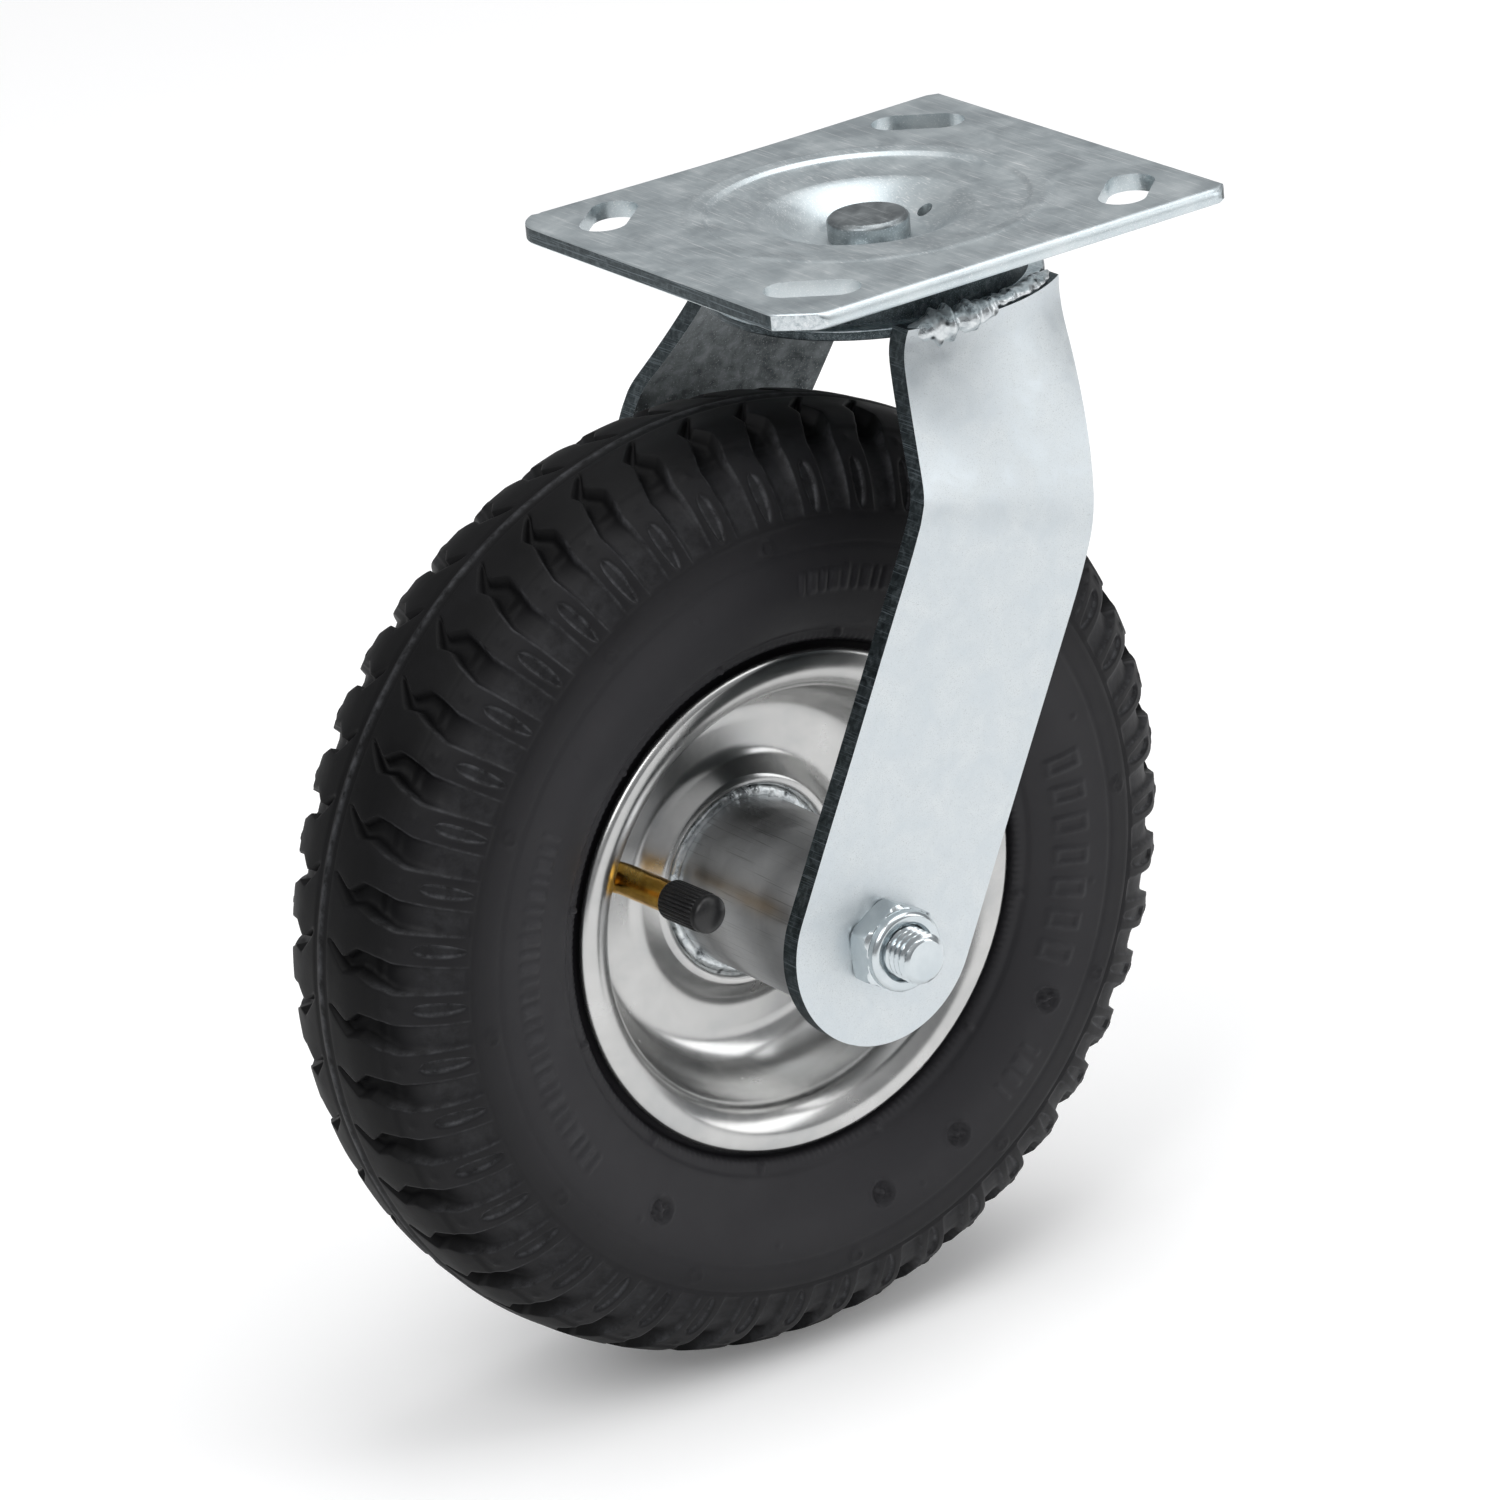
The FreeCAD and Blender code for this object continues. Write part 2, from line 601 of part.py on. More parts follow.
def bearing():
    """Deep-groove ball bearing, 15 x 35 x 11, with two shields."""
    mid = bearingMid
    half = S["bearingWidth"] / 2
    outerR = boreRadius - 0.02
    pitch = ballPitch
    outerLand = pitch + 1.9
    innerLand = pitch - 1.9
    outer = turnedOnAxle("bearing_outer_far", [
        (outerLand, mid - half + 0.9), (outerLand + 0.5, mid - half + 0.9), (outerLand + 0.5, mid - half),
        (outerR, mid - half), (outerR, mid + half), (outerLand + 0.5, mid + half),
        (outerLand + 0.5, mid + half - 0.9), (outerLand, mid + half - 0.9)])
    inner = turnedOnAxle("bearing_inner_far", [
        (bearingBore, mid - half), (innerLand, mid - half), (innerLand, mid + half),
        (bearingBore, mid + half)])
    for body in (outer, inner):
        race = newSketch(body, "XY_Plane")
        circle(race, pitch, mid, S["ballRadius"] + S["raceGap"])
        groove(body, race)
    mirrored(outer, "bearing_outer_near")
    mirrored(inner, "bearing_inner_near")
    for name, side in (("far", 1), ("near", -1)):
        spot = (wheelCentre[0], mid * side, wheelCentre[2])
        ballRing("bearing_balls_" + name, 8, pitch, S["ballRadius"], "y", spot)
    cage = turnedOnAxle("bearing_cage_far", [(pitch - 0.6, mid - 3.7), (pitch + 0.6, mid - 3.7),
                                             (pitch + 0.6, mid + 3.7), (pitch - 0.6, mid + 3.7)])
    for i in range(8):
        pocket = newSketch(cage, "XY_Plane")
        angle = 360.0 * i / 8
        pocket.AttachmentOffset = FreeCAD.Placement(V(0, 0, 0), FreeCAD.Rotation(V(0, 1, 0), angle))
        circle(pocket, pitch, mid, S["ballRadius"] + 0.03)
        hole = cage.newObject("PartDesign::Pocket", "cage_pocket")
        hole.Profile = pocket
        hole.Midplane = True
        hole.Length = 2 * S["ballRadius"].value + 0.3
        cage.Tip = hole
    mirrored(cage, "bearing_cage_near")
    shields = []
    for side in (-1, 1):
        seat = mid + (half - 0.9) * side
        name = "shield_blank%d" % (side + 1)
        blank = turnedOnAxle(name, [(innerLand + 0.35, seat), (outerLand + 0.48, seat),
                                    (outerLand + 0.48, seat + 0.6 * side), (innerLand + 0.35, seat + 0.6 * side)])
        parts.remove(blank)
        shields.append(blank)
    pair = doc.addObject("Part::Compound", "shields_group")
    pair.Links = shields
    keep(pair, "bearing_shields_far")
    mirrored(pair, "bearing_shields_near")


# ---- wheel ------------------------------------------------------------------------------------

def hubTube():
    r = tubeRadius
    half = S["tubeHalf"]
    step = bearingInner
    bore = boreRadius
    body = turnedOnAxle("hub_tube", [
        (bore, -half), (r - 0.5, -half), (r, -half + 0.5), (r, half - 0.5), (r - 0.5, half), (bore, half),
        (bore, step), (bore - 1.5, step), (bore - 1.5, -step), (bore, -step)])
    return body


def rimSection(side):
    """Pressed sheet half: raised collar, flat web, dished wall, bead seat and rolled flange."""
    flange = S["flangeRadius"]
    lip = S["flangeHalf"]
    sheetThick = S["rimSheet"]
    seat = seatRadius
    hub = tubeRadius
    wall = lip - 8.0
    points = [
        (hub + 0.1, sheetThick + 2.4), (hub + 2.2, sheetThick + 2.4), (hub + 3.4, sheetThick + 4.6),
        (hub + 4.8, sheetThick + 4.6), (hub + 10.2, sheetThick), (seat - 9.3, sheetThick), (seat - 4.2, 8.0),
        (seat - sheetThick, wall), (seat - sheetThick + 0.4, wall + 3.9), (flange - 8.4, lip - 0.4),
        (flange - 4.4, lip + 1.4), (flange - 1.2, lip + 1.2), (flange, lip), (flange - 0.6, lip - 1.4),
        (flange - 2.8, lip - 0.6), (flange - 6.8, lip - 2.0), (seat + 0.5, lip - 4.8), (seat, wall),
        (seat - 2.2, 7.6), (seat - 7.8, 0), (hub + 8.8, 0), (hub + 4.6, 4.0), (hub + 3.2, 3.6), (hub + 2.6, 2.2),
        (hub + 0.1, 2.2)]
    return [(r, asSize(a) * side) for r, a in points]


def rimHalf(label, side):
    points = rimSection(side)
    body = turnedOnAxle(label, points)
    # the bend at the web's outer edge takes a little under half of the flat there
    webFlat = points[5][0] - points[4][0]
    roundEdges(body, ringEdges(body, [points[5]], "y"), webFlat * 0.44)
    roundEdges(body, ringEdges(body, [points[4], points[9], points[10]], "y"), 1.5)
    return body


def rimNear():
    """The near half carries the valve hole through its dished wall."""
    body = rimHalf("rim_near", -1)
    lean = S["valveLean"].value
    hole = newSketch(body, "YZ_Plane")
    hole.AttachmentOffset = FreeCAD.Placement(V(0, 0, 0), FreeCAD.Rotation(V(1, 0, 0), 0))
    hole.MapMode = "Deactivated"
    turnIt = FreeCAD.Rotation(V(0, 1, 0), -lean) * FreeCAD.Rotation(V(1, 1, 1), 120)
    hole.Placement = FreeCAD.Placement(V(0, 0, 0), turnIt)
    circle(hole, -10.0, 0, 5.0)
    feature = body.newObject("PartDesign::Pocket", "valve_hole")
    feature.Profile = hole
    feature.Reversed = True
    feature.Length = S["flangeRadius"].value
    body.Tip = feature


def hubWelds():
    r = tubeRadius
    level = S["rimSheet"] + 2.4
    weld = turnedOnAxle("hub_weld_far", [(r, level), (r + 2.1, level), (r + 1.9, level + 1.0),
                                         (r + 0.9, level + 1.6), (r, level + 1.8)])
    mirrored(weld, "hub_weld_near")


def tyreSection():
    top = S["tyreRadius"]
    wide = S["tyreHalf"]
    flange = S["flangeRadius"]
    lip = S["flangeHalf"]
    seat = seatRadius
    bead = lip - 12.0
    half = [(seat + 0.05, bead), (seat + 0.05, lip - 8.0), (seat + 0.5, lip - 4.8), (flange - 6.8, lip - 2.0),
            (flange - 2.8, lip - 0.6), (flange + 0.8, lip - 1.9), (flange + 3.0, lip + 0.6),
            (flange + 14.0, wide - 1.0), (flange + 24.0, wide), (flange + 32.0, wide - 1.3),
            (top - 12.0, wide - 5.4), (top - 4.0, wide - 12.5), (top, wide - 22.5)]
    inner = [(top - 4.8, wide - 24.0), (top - 8.0, wide - 14.0), (top - 15.5, wide - 7.5),
             (flange + 24.0, wide - 3.6), (flange + 6.0, wide - 7.5), (flange - 2.0, lip - 6.5), (seat + 3.2, bead)]
    outline = half + [(r, -asSize(a)) for r, a in reversed(half)]
    return outline + [(r, -asSize(a)) for r, a in reversed(inner)] + inner


def tyre():
    body = turnedOnAxle("tyre", tyreSection())
    top = S["tyreRadius"]
    wide = S["tyreHalf"]
    for side in (-1, 1):
        flange = S["flangeRadius"]
        sideSpots = [(flange + 14.0, (wide - 1.0) * side), (flange + 32.0, (wide - 1.3) * side)]
        roundEdges(body, ringEdges(body, sideSpots, "y"), 14.0)
        treadSpots = [(top - 12.0, (wide - 5.4) * side), (top - 4.0, (wide - 12.5) * side)]
        roundEdges(body, ringEdges(body, treadSpots, "y"), 9.0)


def innerTube():
    top = S["tyreRadius"]
    wide = S["tyreHalf"]
    flange = S["flangeRadius"]
    lip = S["flangeHalf"]
    seat = seatRadius
    half = [(seat + 1.2, lip - 13.0), (seat + 3.8, lip - 12.5), (flange - 1.6, lip - 7.3),
            (flange + 6.2, wide - 8.2), (flange + 24.0, wide - 4.3), (top - 15.9, wide - 8.2),
            (top - 8.6, wide - 14.6), (top - 4.8, wide - 25.0)]
    inner = [(top - 6.4, wide - 25.6), (top - 9.8, wide - 15.6), (top - 16.8, wide - 9.8),
             (flange + 24.0, wide - 6.0), (flange + 6.8, wide - 9.8), (flange - 0.4, lip - 8.5),
             (seat + 4.8, lip - 13.7), (seat + 2.8, lip - 14.1)]
    outer = half + [(r, -asSize(a)) for r, a in reversed(half)]
    body = turnedOnAxle("inner_tube", outer)
    hollow = inner[::-1] + [(r, -asSize(a)) for r, a in inner]
    groove(body, polygon(newSketch(body, "XY_Plane"), hollow))


# ---- valve ------------------------------------------------------------------------------------

def valveFrame():
    """Rotation taking local X to the valve's radial direction; local Y stays the axle."""
    return FreeCAD.Rotation(V(0, 1, 0), -S["valveLean"].value)


def valvePlacement(item):
    spot = V(*[asSize(w).value for w in wheelCentre])
    item.Placement = FreeCAD.Placement(spot, valveFrame())
    bind(item, "Placement.Base.x", wheelCentre[0])
    bind(item, "Placement.Base.z", wheelCentre[2])


bendCentre = (seatRadius.value - 5.6, 14.4)
stemFoot = seatRadius.value - 0.5
stemBend = 4.6
stemReach = 26.0
leanAngle = math.radians(5.6)


def stemPath(sketch):
    """Radial leg, bend, then a straight leg leaning slightly inward, in the (radius, axle) plane."""
    cx, cy = bendCentre
    r = stemBend
    foot = V(stemFoot, -(cy - r), 0)
    first = V(cx, -(cy - r), 0)
    bendEnd = V(cx - r * math.cos(leanAngle), -(cy + r * math.sin(-leanAngle)), 0)
    length = stemReach
    tip = V(bendEnd.x - length * math.sin(leanAngle), bendEnd.y - length * math.cos(leanAngle), 0)
    centre = V(cx, -cy, 0)
    start = math.atan2(first.y - centre.y, first.x - centre.x)
    stop = math.atan2(bendEnd.y - centre.y, bendEnd.x - centre.x)
    if stop < start:
        stop += 2 * math.pi
    sketch.addGeometry(Part.LineSegment(foot, first), False)
    sketch.addGeometry(Part.ArcOfCircle(Part.Circle(centre, V(0, 0, 1), r), start, stop), False)
    sketch.addGeometry(Part.LineSegment(bendEnd, tip), False)
    return tip


def alongStem(distance):
    """Point on the straight leg's line, measured from its outer end; in valve coordinates."""
    cx, cy = bendCentre
    r = stemBend
    reach = stemReach + distance
    x = cx - r * math.cos(leanAngle) - reach * math.sin(leanAngle)
    y = -(cy - r * math.sin(leanAngle)) - reach * math.cos(leanAngle)
    return V(x, y, 0)


def rodOnStem(label, points):
    """Turned part on the straight leg: points are (radius, distance beyond the brass end)."""
    body = newBody(label)
    base = FreeCAD.Placement(V(*[asSize(w).value for w in wheelCentre]), valveFrame())
    lean = FreeCAD.Placement(alongStem(0), FreeCAD.Rotation(V(0, 0, 1), 180 - math.degrees(leanAngle)))
    body.Placement = base.multiply(lean)
    turn(body, polygon(newSketch(body, "XY_Plane"), points))
    return body


def valveStem():
    body = newBody("valve_stem")
    valvePlacement(body)
    path = newSketch(body, "XY_Plane")
    stemPath(path)
    face = newSketch(body, "YZ_Plane", stemFoot)
    circle(face, -(bendCentre[1] - stemBend), 0, S["valveRadius"])
    circle(face, -(bendCentre[1] - stemBend), 0, 2.0)
    pipe = body.newObject("PartDesign::AdditivePipe", "stem_pipe")
    pipe.Profile = face
    pipe.Spine = path
    body.Tip = pipe


def valveBase():
    """Rubber foot, shaped to the inner tube it is bonded to."""
    foot = doc.addObject("Part::Cylinder", "valve_foot_blank")
    foot.Radius = 6.5
    foot.Height = 5.0
    spin = valveFrame().multiply(FreeCAD.Rotation(V(0, 1, 0), 90))
    spot = V(*[asSize(w).value for w in wheelCentre])
    away = valveFrame().multVec(V(stemFoot, -(bendCentre[1] - stemBend), 0))
    foot.Placement = FreeCAD.Placement(spot + away, spin)
    limit = doc.addObject("Part::Cylinder", "valve_foot_limit")
    limit.Radius = (seatRadius + 1.2).value
    reach = (S["flangeHalf"] - 12.1).value
    limit.Height = 2 * reach
    limit.Placement = FreeCAD.Placement(spot + V(0, reach, 0), FreeCAD.Rotation(V(1, 0, 0), 90))
    common = doc.addObject("Part::MultiCommon", "valve_foot")
    common.Shapes = [foot, limit]
    keep(common, "valve_base")


def valveParts():
    rodOnStem("valve_core", [(0.9, -9.0), (1.98, -9.0), (1.98, -0.6), (0.9, -0.6)])
    rodOnStem("valve_pin", [(0, -8.0), (0.55, -8.0), (0.55, -0.2), (0, -0.2)])
    cap = S["capRadius"]
    inner = S["valveRadius"] + 0.02
    rodOnStem("valve_cap", [(inner, -10.4), (cap - 0.2, -10.4), (cap, -9.6), (cap, 2.4), (cap - 0.9, 3.9),
                            (0, 4.2), (0, 2.2), (2.2, 2.2), (2.2, 0), (inner, 0)])


# ---- build ------------------------------------------------------------------------------------

topPlate()
kingpin()
lowerRace()
ballRing("upper_balls", 24, upperPitch, S["upperBall"], "z", (0, 0, -upperLevel))
ballCage("upper_cage", 24, upperPitch, S["upperBall"], upperLevel, 3.8, 0.6)
ballRing("lower_balls", 14, S["lowerPitch"], S["lowerBall"], "z", (0, 0, -lowerLevel))
ballCage("lower_cage", 14, S["lowerPitch"], S["lowerBall"], lowerLevel, 3.2, 0.5)
forkCrown()
mirrored(forkLeg(), "fork_leg_near")
legWeld()
mirrored(parts[-1], "weld_near")
axleBolt()
axleNut()
axleStack()
bearing()
hubTube()
rimHalf("rim_far", 1)
rimNear()
hubWelds()
tyre()
innerTube()
valveBase()
valveStem()
valveParts()

doc.recompute()
os.makedirs("parts", exist_ok=True)
for item in parts:
    bad = [o.Name for o in doc.Objects if "Invalid" in o.State or "Error" in o.State]
    if bad or item.Shape.isNull() or not item.Shape.isValid():
        raise RuntimeError("sub-part %s is not sound: %s" % (item.Label, bad))
    item.Shape.exportStep("parts/%s.step" % item.Label)
    print("%-22s %10.1f mm3  %d solid(s)" % (item.Label, item.Shape.Volume, len(item.Shape.Solids)))
print("%d nodes" % len(parts))
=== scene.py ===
import bpy
import bmesh
import json
import math
import numpy as np
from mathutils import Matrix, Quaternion, Vector, noise


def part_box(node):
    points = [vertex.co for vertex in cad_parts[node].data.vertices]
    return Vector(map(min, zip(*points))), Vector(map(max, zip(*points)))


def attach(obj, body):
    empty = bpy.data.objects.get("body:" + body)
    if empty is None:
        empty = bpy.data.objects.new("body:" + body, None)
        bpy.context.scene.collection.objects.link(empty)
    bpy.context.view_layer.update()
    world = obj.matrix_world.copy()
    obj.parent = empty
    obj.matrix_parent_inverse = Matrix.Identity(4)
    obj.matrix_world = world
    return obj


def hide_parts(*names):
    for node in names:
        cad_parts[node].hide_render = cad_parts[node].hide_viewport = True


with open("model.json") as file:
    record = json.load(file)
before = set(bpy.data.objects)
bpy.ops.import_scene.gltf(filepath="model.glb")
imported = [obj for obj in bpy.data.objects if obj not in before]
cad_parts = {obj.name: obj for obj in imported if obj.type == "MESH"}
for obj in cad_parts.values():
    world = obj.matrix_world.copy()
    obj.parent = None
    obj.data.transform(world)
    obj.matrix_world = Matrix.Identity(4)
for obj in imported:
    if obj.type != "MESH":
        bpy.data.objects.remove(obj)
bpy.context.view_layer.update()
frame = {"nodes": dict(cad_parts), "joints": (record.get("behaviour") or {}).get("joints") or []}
print("frame loaded:", len(frame["nodes"]), "nodes")

mm = 0.001
wheelJoint = [j for j in frame["joints"] if j["name"] == "wheel_spin"][0]
axleX = wheelJoint["pos_m"][0] / mm
axleZ = wheelJoint["pos_m"][2] / mm


def linear(hexColour):
    # screen colour to linear light
    channels = [int(hexColour[i:i + 2], 16) / 255 for i in (1, 3, 5)]
    return [c / 12.92 if c <= 0.04045 else ((c + 0.055) / 1.055) ** 2.4 for c in channels] + [1.0]


def addNode(tree, kind, settings=None, values=None, links=None, stops=()):
    node = tree.nodes.new(kind)
    for key, value in (settings or {}).items():
        setattr(node, key, value)
    for key, value in (values or {}).items():
        node.inputs[key].default_value = value
    for key, source in (links or {}).items():
        tree.links.new(source, node.inputs[key])
    for k, (place, colour) in enumerate(stops):
        elements = node.color_ramp.elements
        element = elements[k] if k < len(elements) else elements.new(place)
        element.position = place
        element.color = linear(colour)
    return node


def startMaterial(name, colour, metallic, roughness, ior=1.5):
    material = bpy.data.materials.new(name)
    material.use_nodes = True
    tree = material.node_tree
    shader = tree.nodes["Principled BSDF"]
    shader.inputs["Base Color"].default_value = linear(colour)
    shader.inputs["Metallic"].default_value = metallic
    shader.inputs["Roughness"].default_value = roughness
    shader.inputs["IOR"].default_value = ior
    coords = addNode(tree, "ShaderNodeTexCoord").outputs["Object"]
    return material, tree, shader, coords


def buildMesh(name, points, faces):
    mesh = bpy.data.meshes.new(name)
    mesh.from_pydata([(p[0] * mm, p[1] * mm, p[2] * mm) for p in points], [], faces)
    mesh.polygons.foreach_set("use_smooth", [True] * len(mesh.polygons))
    piece = bpy.data.objects.new(name, mesh)
    bpy.context.scene.collection.objects.link(piece)
    return piece


def gridFaces(rows, columns, closeColumns=True, closeRows=False, flip=False):
    faces = []
    lastColumn = columns if closeColumns else columns - 1
    lastRow = rows if closeRows else rows - 1
    for i in range(lastRow):
        for j in range(lastColumn):
            a = i * columns + j
            b = i * columns + (j + 1) % columns
            c = ((i + 1) % rows) * columns + (j + 1) % columns
            d = ((i + 1) % rows) * columns + j
            faces.append((a, d, c, b) if flip else (a, b, c, d))
    return faces


def fixNormals(piece):
    form = bmesh.new()
    form.from_mesh(piece.data)
    bmesh.ops.recalc_face_normals(form, faces=form.faces)
    form.to_mesh(piece.data)
    form.free()


def softCorners(points, radius, steps):
    # rounds every inner corner of an open line; a third value at a corner is its own radius
    line = [points[0]]
    for before, corner, after in zip(points, points[1:], points[2:]):
        apex = Vector(corner[:2])
        reach = corner[2] if len(corner) > 2 else radius
        toBefore = Vector(before[:2]) - apex
        toAfter = Vector(after[:2]) - apex
        cut = min(reach, toBefore.length * 0.48, toAfter.length * 0.48)
        start = apex + toBefore.normalized() * cut
        stop = apex + toAfter.normalized() * cut
        for k in range(steps + 1):
            t = k / steps
            line.append(tuple(start * (1 - t) ** 2 + apex * 2 * t * (1 - t) + stop * t ** 2))
    line.append(points[-1])
    return [p[:2] for p in line]


def onAxle(r, angle, along):
    return (axleX + r * math.cos(angle), along, axleZ + r * math.sin(angle))


def onSwivel(r, angle, along):
    return (r * math.cos(angle), r * math.sin(angle), along)


def turnedPiece(name, profile, place=onSwivel, count=160, closed=True, sharp=35):
    # profile: radius or radius-by-angle, distance along the axis
    points = []
    for radius, along in profile:
        for k in range(count):
            angle = 2 * math.pi * k / count
            r = radius(angle) if callable(radius) else radius
            points.append(place(max(r, 0.01), angle, along))
    piece = buildMesh(name, points, gridFaces(len(profile), count, True, closed))
    fixNormals(piece)
    piece.data.set_sharp_from_angle(angle=math.radians(sharp))
    return piece


def applyModifiers(piece):
    bpy.context.view_layer.update()
    graph = bpy.context.evaluated_depsgraph_get()
    mesh = bpy.data.meshes.new_from_object(piece.evaluated_get(graph))
    piece.modifiers.clear()
    piece.data = mesh


def crispEdges(piece, width, angle, edgeMaterial=-1):
    bevel = piece.modifiers.new("edges", "BEVEL")
    bevel.width = width * mm
    bevel.segments = 2
    bevel.limit_method = "ANGLE"
    bevel.angle_limit = math.radians(angle)
    bevel.material = edgeMaterial
    bevel.use_clamp_overlap = True
    shade = piece.modifiers.new("shade", "WEIGHTED_NORMAL")
    shade.keep_sharp = True
    applyModifiers(piece)


def addMaterials(piece, *materials):
    for material in materials:
        piece.data.materials.append(material)


def finishPiece(piece, body, slot, *replaced):
    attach(piece, body)
    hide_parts(*replaced)


# the zinc sheet's own values; every other metal states what differs
zinc = {"light": "#C6CFD2", "dark": "#BAC4C8", "tint": "#D2D9DB", "rough": 0.42, "driftMm": 13.0,
        "scratches": [((0, 0, 0.5), 0.30), ((0, 0, 1.9), 0.24)], "scratch": "#E4E7E8",
        "scratchRough": 0.10, "grainMm": 0.55, "bump": 0.12, "bumpMm": 0.05}


def makeMetal(name, **changes):
    # plated or bare metal: slow colour drift, fine scratches in two directions, grain and pits
    spec = {**zinc, **changes}
    material, tree, shader, coords = startMaterial(name, spec["light"], 1.0, spec["rough"])
    drift = addNode(tree, "ShaderNodeTexNoise",
                    values={"Scale": 1 / (spec["driftMm"] * mm), "Detail": 5.0, "Roughness": 0.62,
                            "Distortion": 0.4}, links={"Vector": coords})
    colour = addNode(tree, "ShaderNodeValToRGB", links={"Fac": drift.outputs["Fac"]},
                     stops=[(0.34, spec["dark"]), (0.52, spec["light"]),
                            (0.70, spec["tint"])]).outputs["Color"]
    scratchSum = None
    for turn, width in spec["scratches"]:
        turned = addNode(tree, "ShaderNodeMapping",
                         values={"Rotation": turn, "Scale": (1, 1 / 60, 1)},
                         links={"Vector": coords})
        lines = addNode(tree, "ShaderNodeTexNoise",
                        values={"Scale": 1 / (width * mm), "Detail": 2.0},
                        links={"Vector": turned.outputs["Vector"]})
        thin = addNode(tree, "ShaderNodeMapRange", values={"From Min": 0.60, "From Max": 0.72},
                       links={"Value": lines.outputs["Fac"]})
        if scratchSum is None:
            scratchSum = thin.outputs["Result"]
        else:
            scratchSum = addNode(tree, "ShaderNodeMath", {"operation": "MAXIMUM"},
                                 links={0: scratchSum, 1: thin.outputs["Result"]}).outputs["Value"]
    grain = addNode(tree, "ShaderNodeTexNoise",
                    values={"Scale": 1 / (spec["grainMm"] * mm), "Detail": 3.0},
                    links={"Vector": coords})
    roughBase = addNode(tree, "ShaderNodeMapRange", values={"From Min": 0.3, "From Max": 0.7,
                        "To Min": spec["rough"] * 0.82, "To Max": spec["rough"] * 1.2},
                        links={"Value": drift.outputs["Fac"]})
    rough = roughBase.outputs["Result"]
    height = grain.outputs["Fac"]
    if scratchSum is not None:
        worn = addNode(tree, "ShaderNodeMath", {"operation": "MULTIPLY_ADD"},
                       {1: spec["scratchRough"]}, {0: scratchSum, 2: rough})
        rough = worn.outputs["Value"]
        etched = addNode(tree, "ShaderNodeMath", {"operation": "MULTIPLY_ADD"}, {1: -0.5},
                         {0: scratchSum, 2: height})
        height = etched.outputs["Value"]
        scuff = addNode(tree, "ShaderNodeMix", {"data_type": "RGBA"}, {7: linear(spec["scratch"])},
                        {0: scratchSum, 6: colour})
        colour = scuff.outputs[2]
    if spec.get("pitMm"):
        pits = addNode(tree, "ShaderNodeTexVoronoi", {"feature": "SMOOTH_F1"},
                       {"Scale": 1 / (spec["pitMm"] * mm), "Randomness": 1.0}, {"Vector": coords})
        deep = addNode(tree, "ShaderNodeMapRange", values={"From Min": 0.08, "From Max": 0.24},
                       links={"Value": pits.outputs["Distance"]})
        pitMix = addNode(tree, "ShaderNodeMix", {"data_type": "RGBA"}, {6: linear(spec["pit"])},
                         {0: deep.outputs["Result"], 7: colour})
        colour = pitMix.outputs[2]
    tree.links.new(colour, shader.inputs["Base Color"])
    tree.links.new(rough, shader.inputs["Roughness"])
    bump = addNode(tree, "ShaderNodeBump",
                   values={"Strength": spec["bump"], "Distance": spec["bumpMm"] * mm},
                   links={"Height": height})
    tree.links.new(bump.outputs["Normal"], shader.inputs["Normal"])
    return material


# bright zinc: electroplated pressed steel, bluish silver, satin from the pickled sheet under it
zincPlate = makeMetal("brightZincPlate")

# the same plating on rolled bar: a little rougher, with scratches that run down the leg
zincLeg = makeMetal("brightZincBar", light="#D0D6D9", dark="#C8CFD3", tint="#D9DEE0", rough=0.50,
                    driftMm=8.0, scratches=[((0.4, 0, 0), 0.3), ((1.2, 0.7, 0), 0.22)],
                    scratch="#C2C7C9", grainMm=0.5, bump=0.20)

# inner faces of the bars: the same plating, darkened as painted shade under the plate, and blotched
zincInner = makeMetal("paintedShadeZincBar", light="#7B8183", dark="#555B5D", tint="#9AA0A2", rough=0.50,
                      driftMm=4.5, scratches=[((0.4, 0, 0), 0.4)], scratch="#A9AEB0", grainMm=0.7,
                      bump=0.22)

# sheared edge: torn steel under thin zinc, dark and dull with streaks across the sheet
shearedEdge = makeMetal("shearedZincEdge", light="#495154", dark="#363D40", tint="#6A7275",
                        rough=0.5, driftMm=1.6, grainMm=0.35, bump=0.35, bumpMm=0.10,
                        scratch="#7D878C")

# burr along a sheared edge: rubbed bright
wornEdge = makeMetal("rubbedZincEdge", light="#C9D0D3", dark="#98A3A8", tint="#E2E6E8", rough=0.34,
                     driftMm=1.8, grainMm=0.3, bump=0.4, bumpMm=0.08)

# arc weld, plated over: lumpy, glassy high spots and dark pin holes
weldMetal = makeMetal("platedWeld", light="#C9CED0", dark="#9CA2A5", tint="#DFE2E3", rough=0.30,
                      driftMm=2.6, scratches=[], grainMm=0.9, bump=0.6, bumpMm=0.3, pitMm=3.4,
                      pit="#4B4F51")

# peened pin: plain steel, brushed by the tool, greyer than the zinc
pinSteel = makeMetal("peenedPinSteel", light="#8F9597", dark="#777D80", tint="#A4A9AB", rough=0.40,
                     driftMm=5.0, scratches=[((1.57, 0, 0), 0.25)], scratch="#B9BDBF", grainMm=0.4,
                     bump=0.15)

# polished, nickel-bright pressed rim: mirror-like with faint drawing lines and dull smears
rimChrome = makeMetal("polishedRimSteel", light="#B9B9B8", dark="#ACADAD", tint="#C4C4C3",
                      rough=0.24, driftMm=20.0, scratches=[], grainMm=6.0, bump=0.03, bumpMm=0.08)

# drawn hub tube: same plating, darker, with lines along its length
tubeSteel = makeMetal("drawnTubeSteel", light="#D4D5D6", dark="#CCCDCE", tint="#DCDDDE", rough=0.34,
                      driftMm=9.0, scratches=[((0, 0, 0), 0.3)], scratch="#B5B6B6",
                      scratchRough=0.03, grainMm=2.0, bump=0.02)

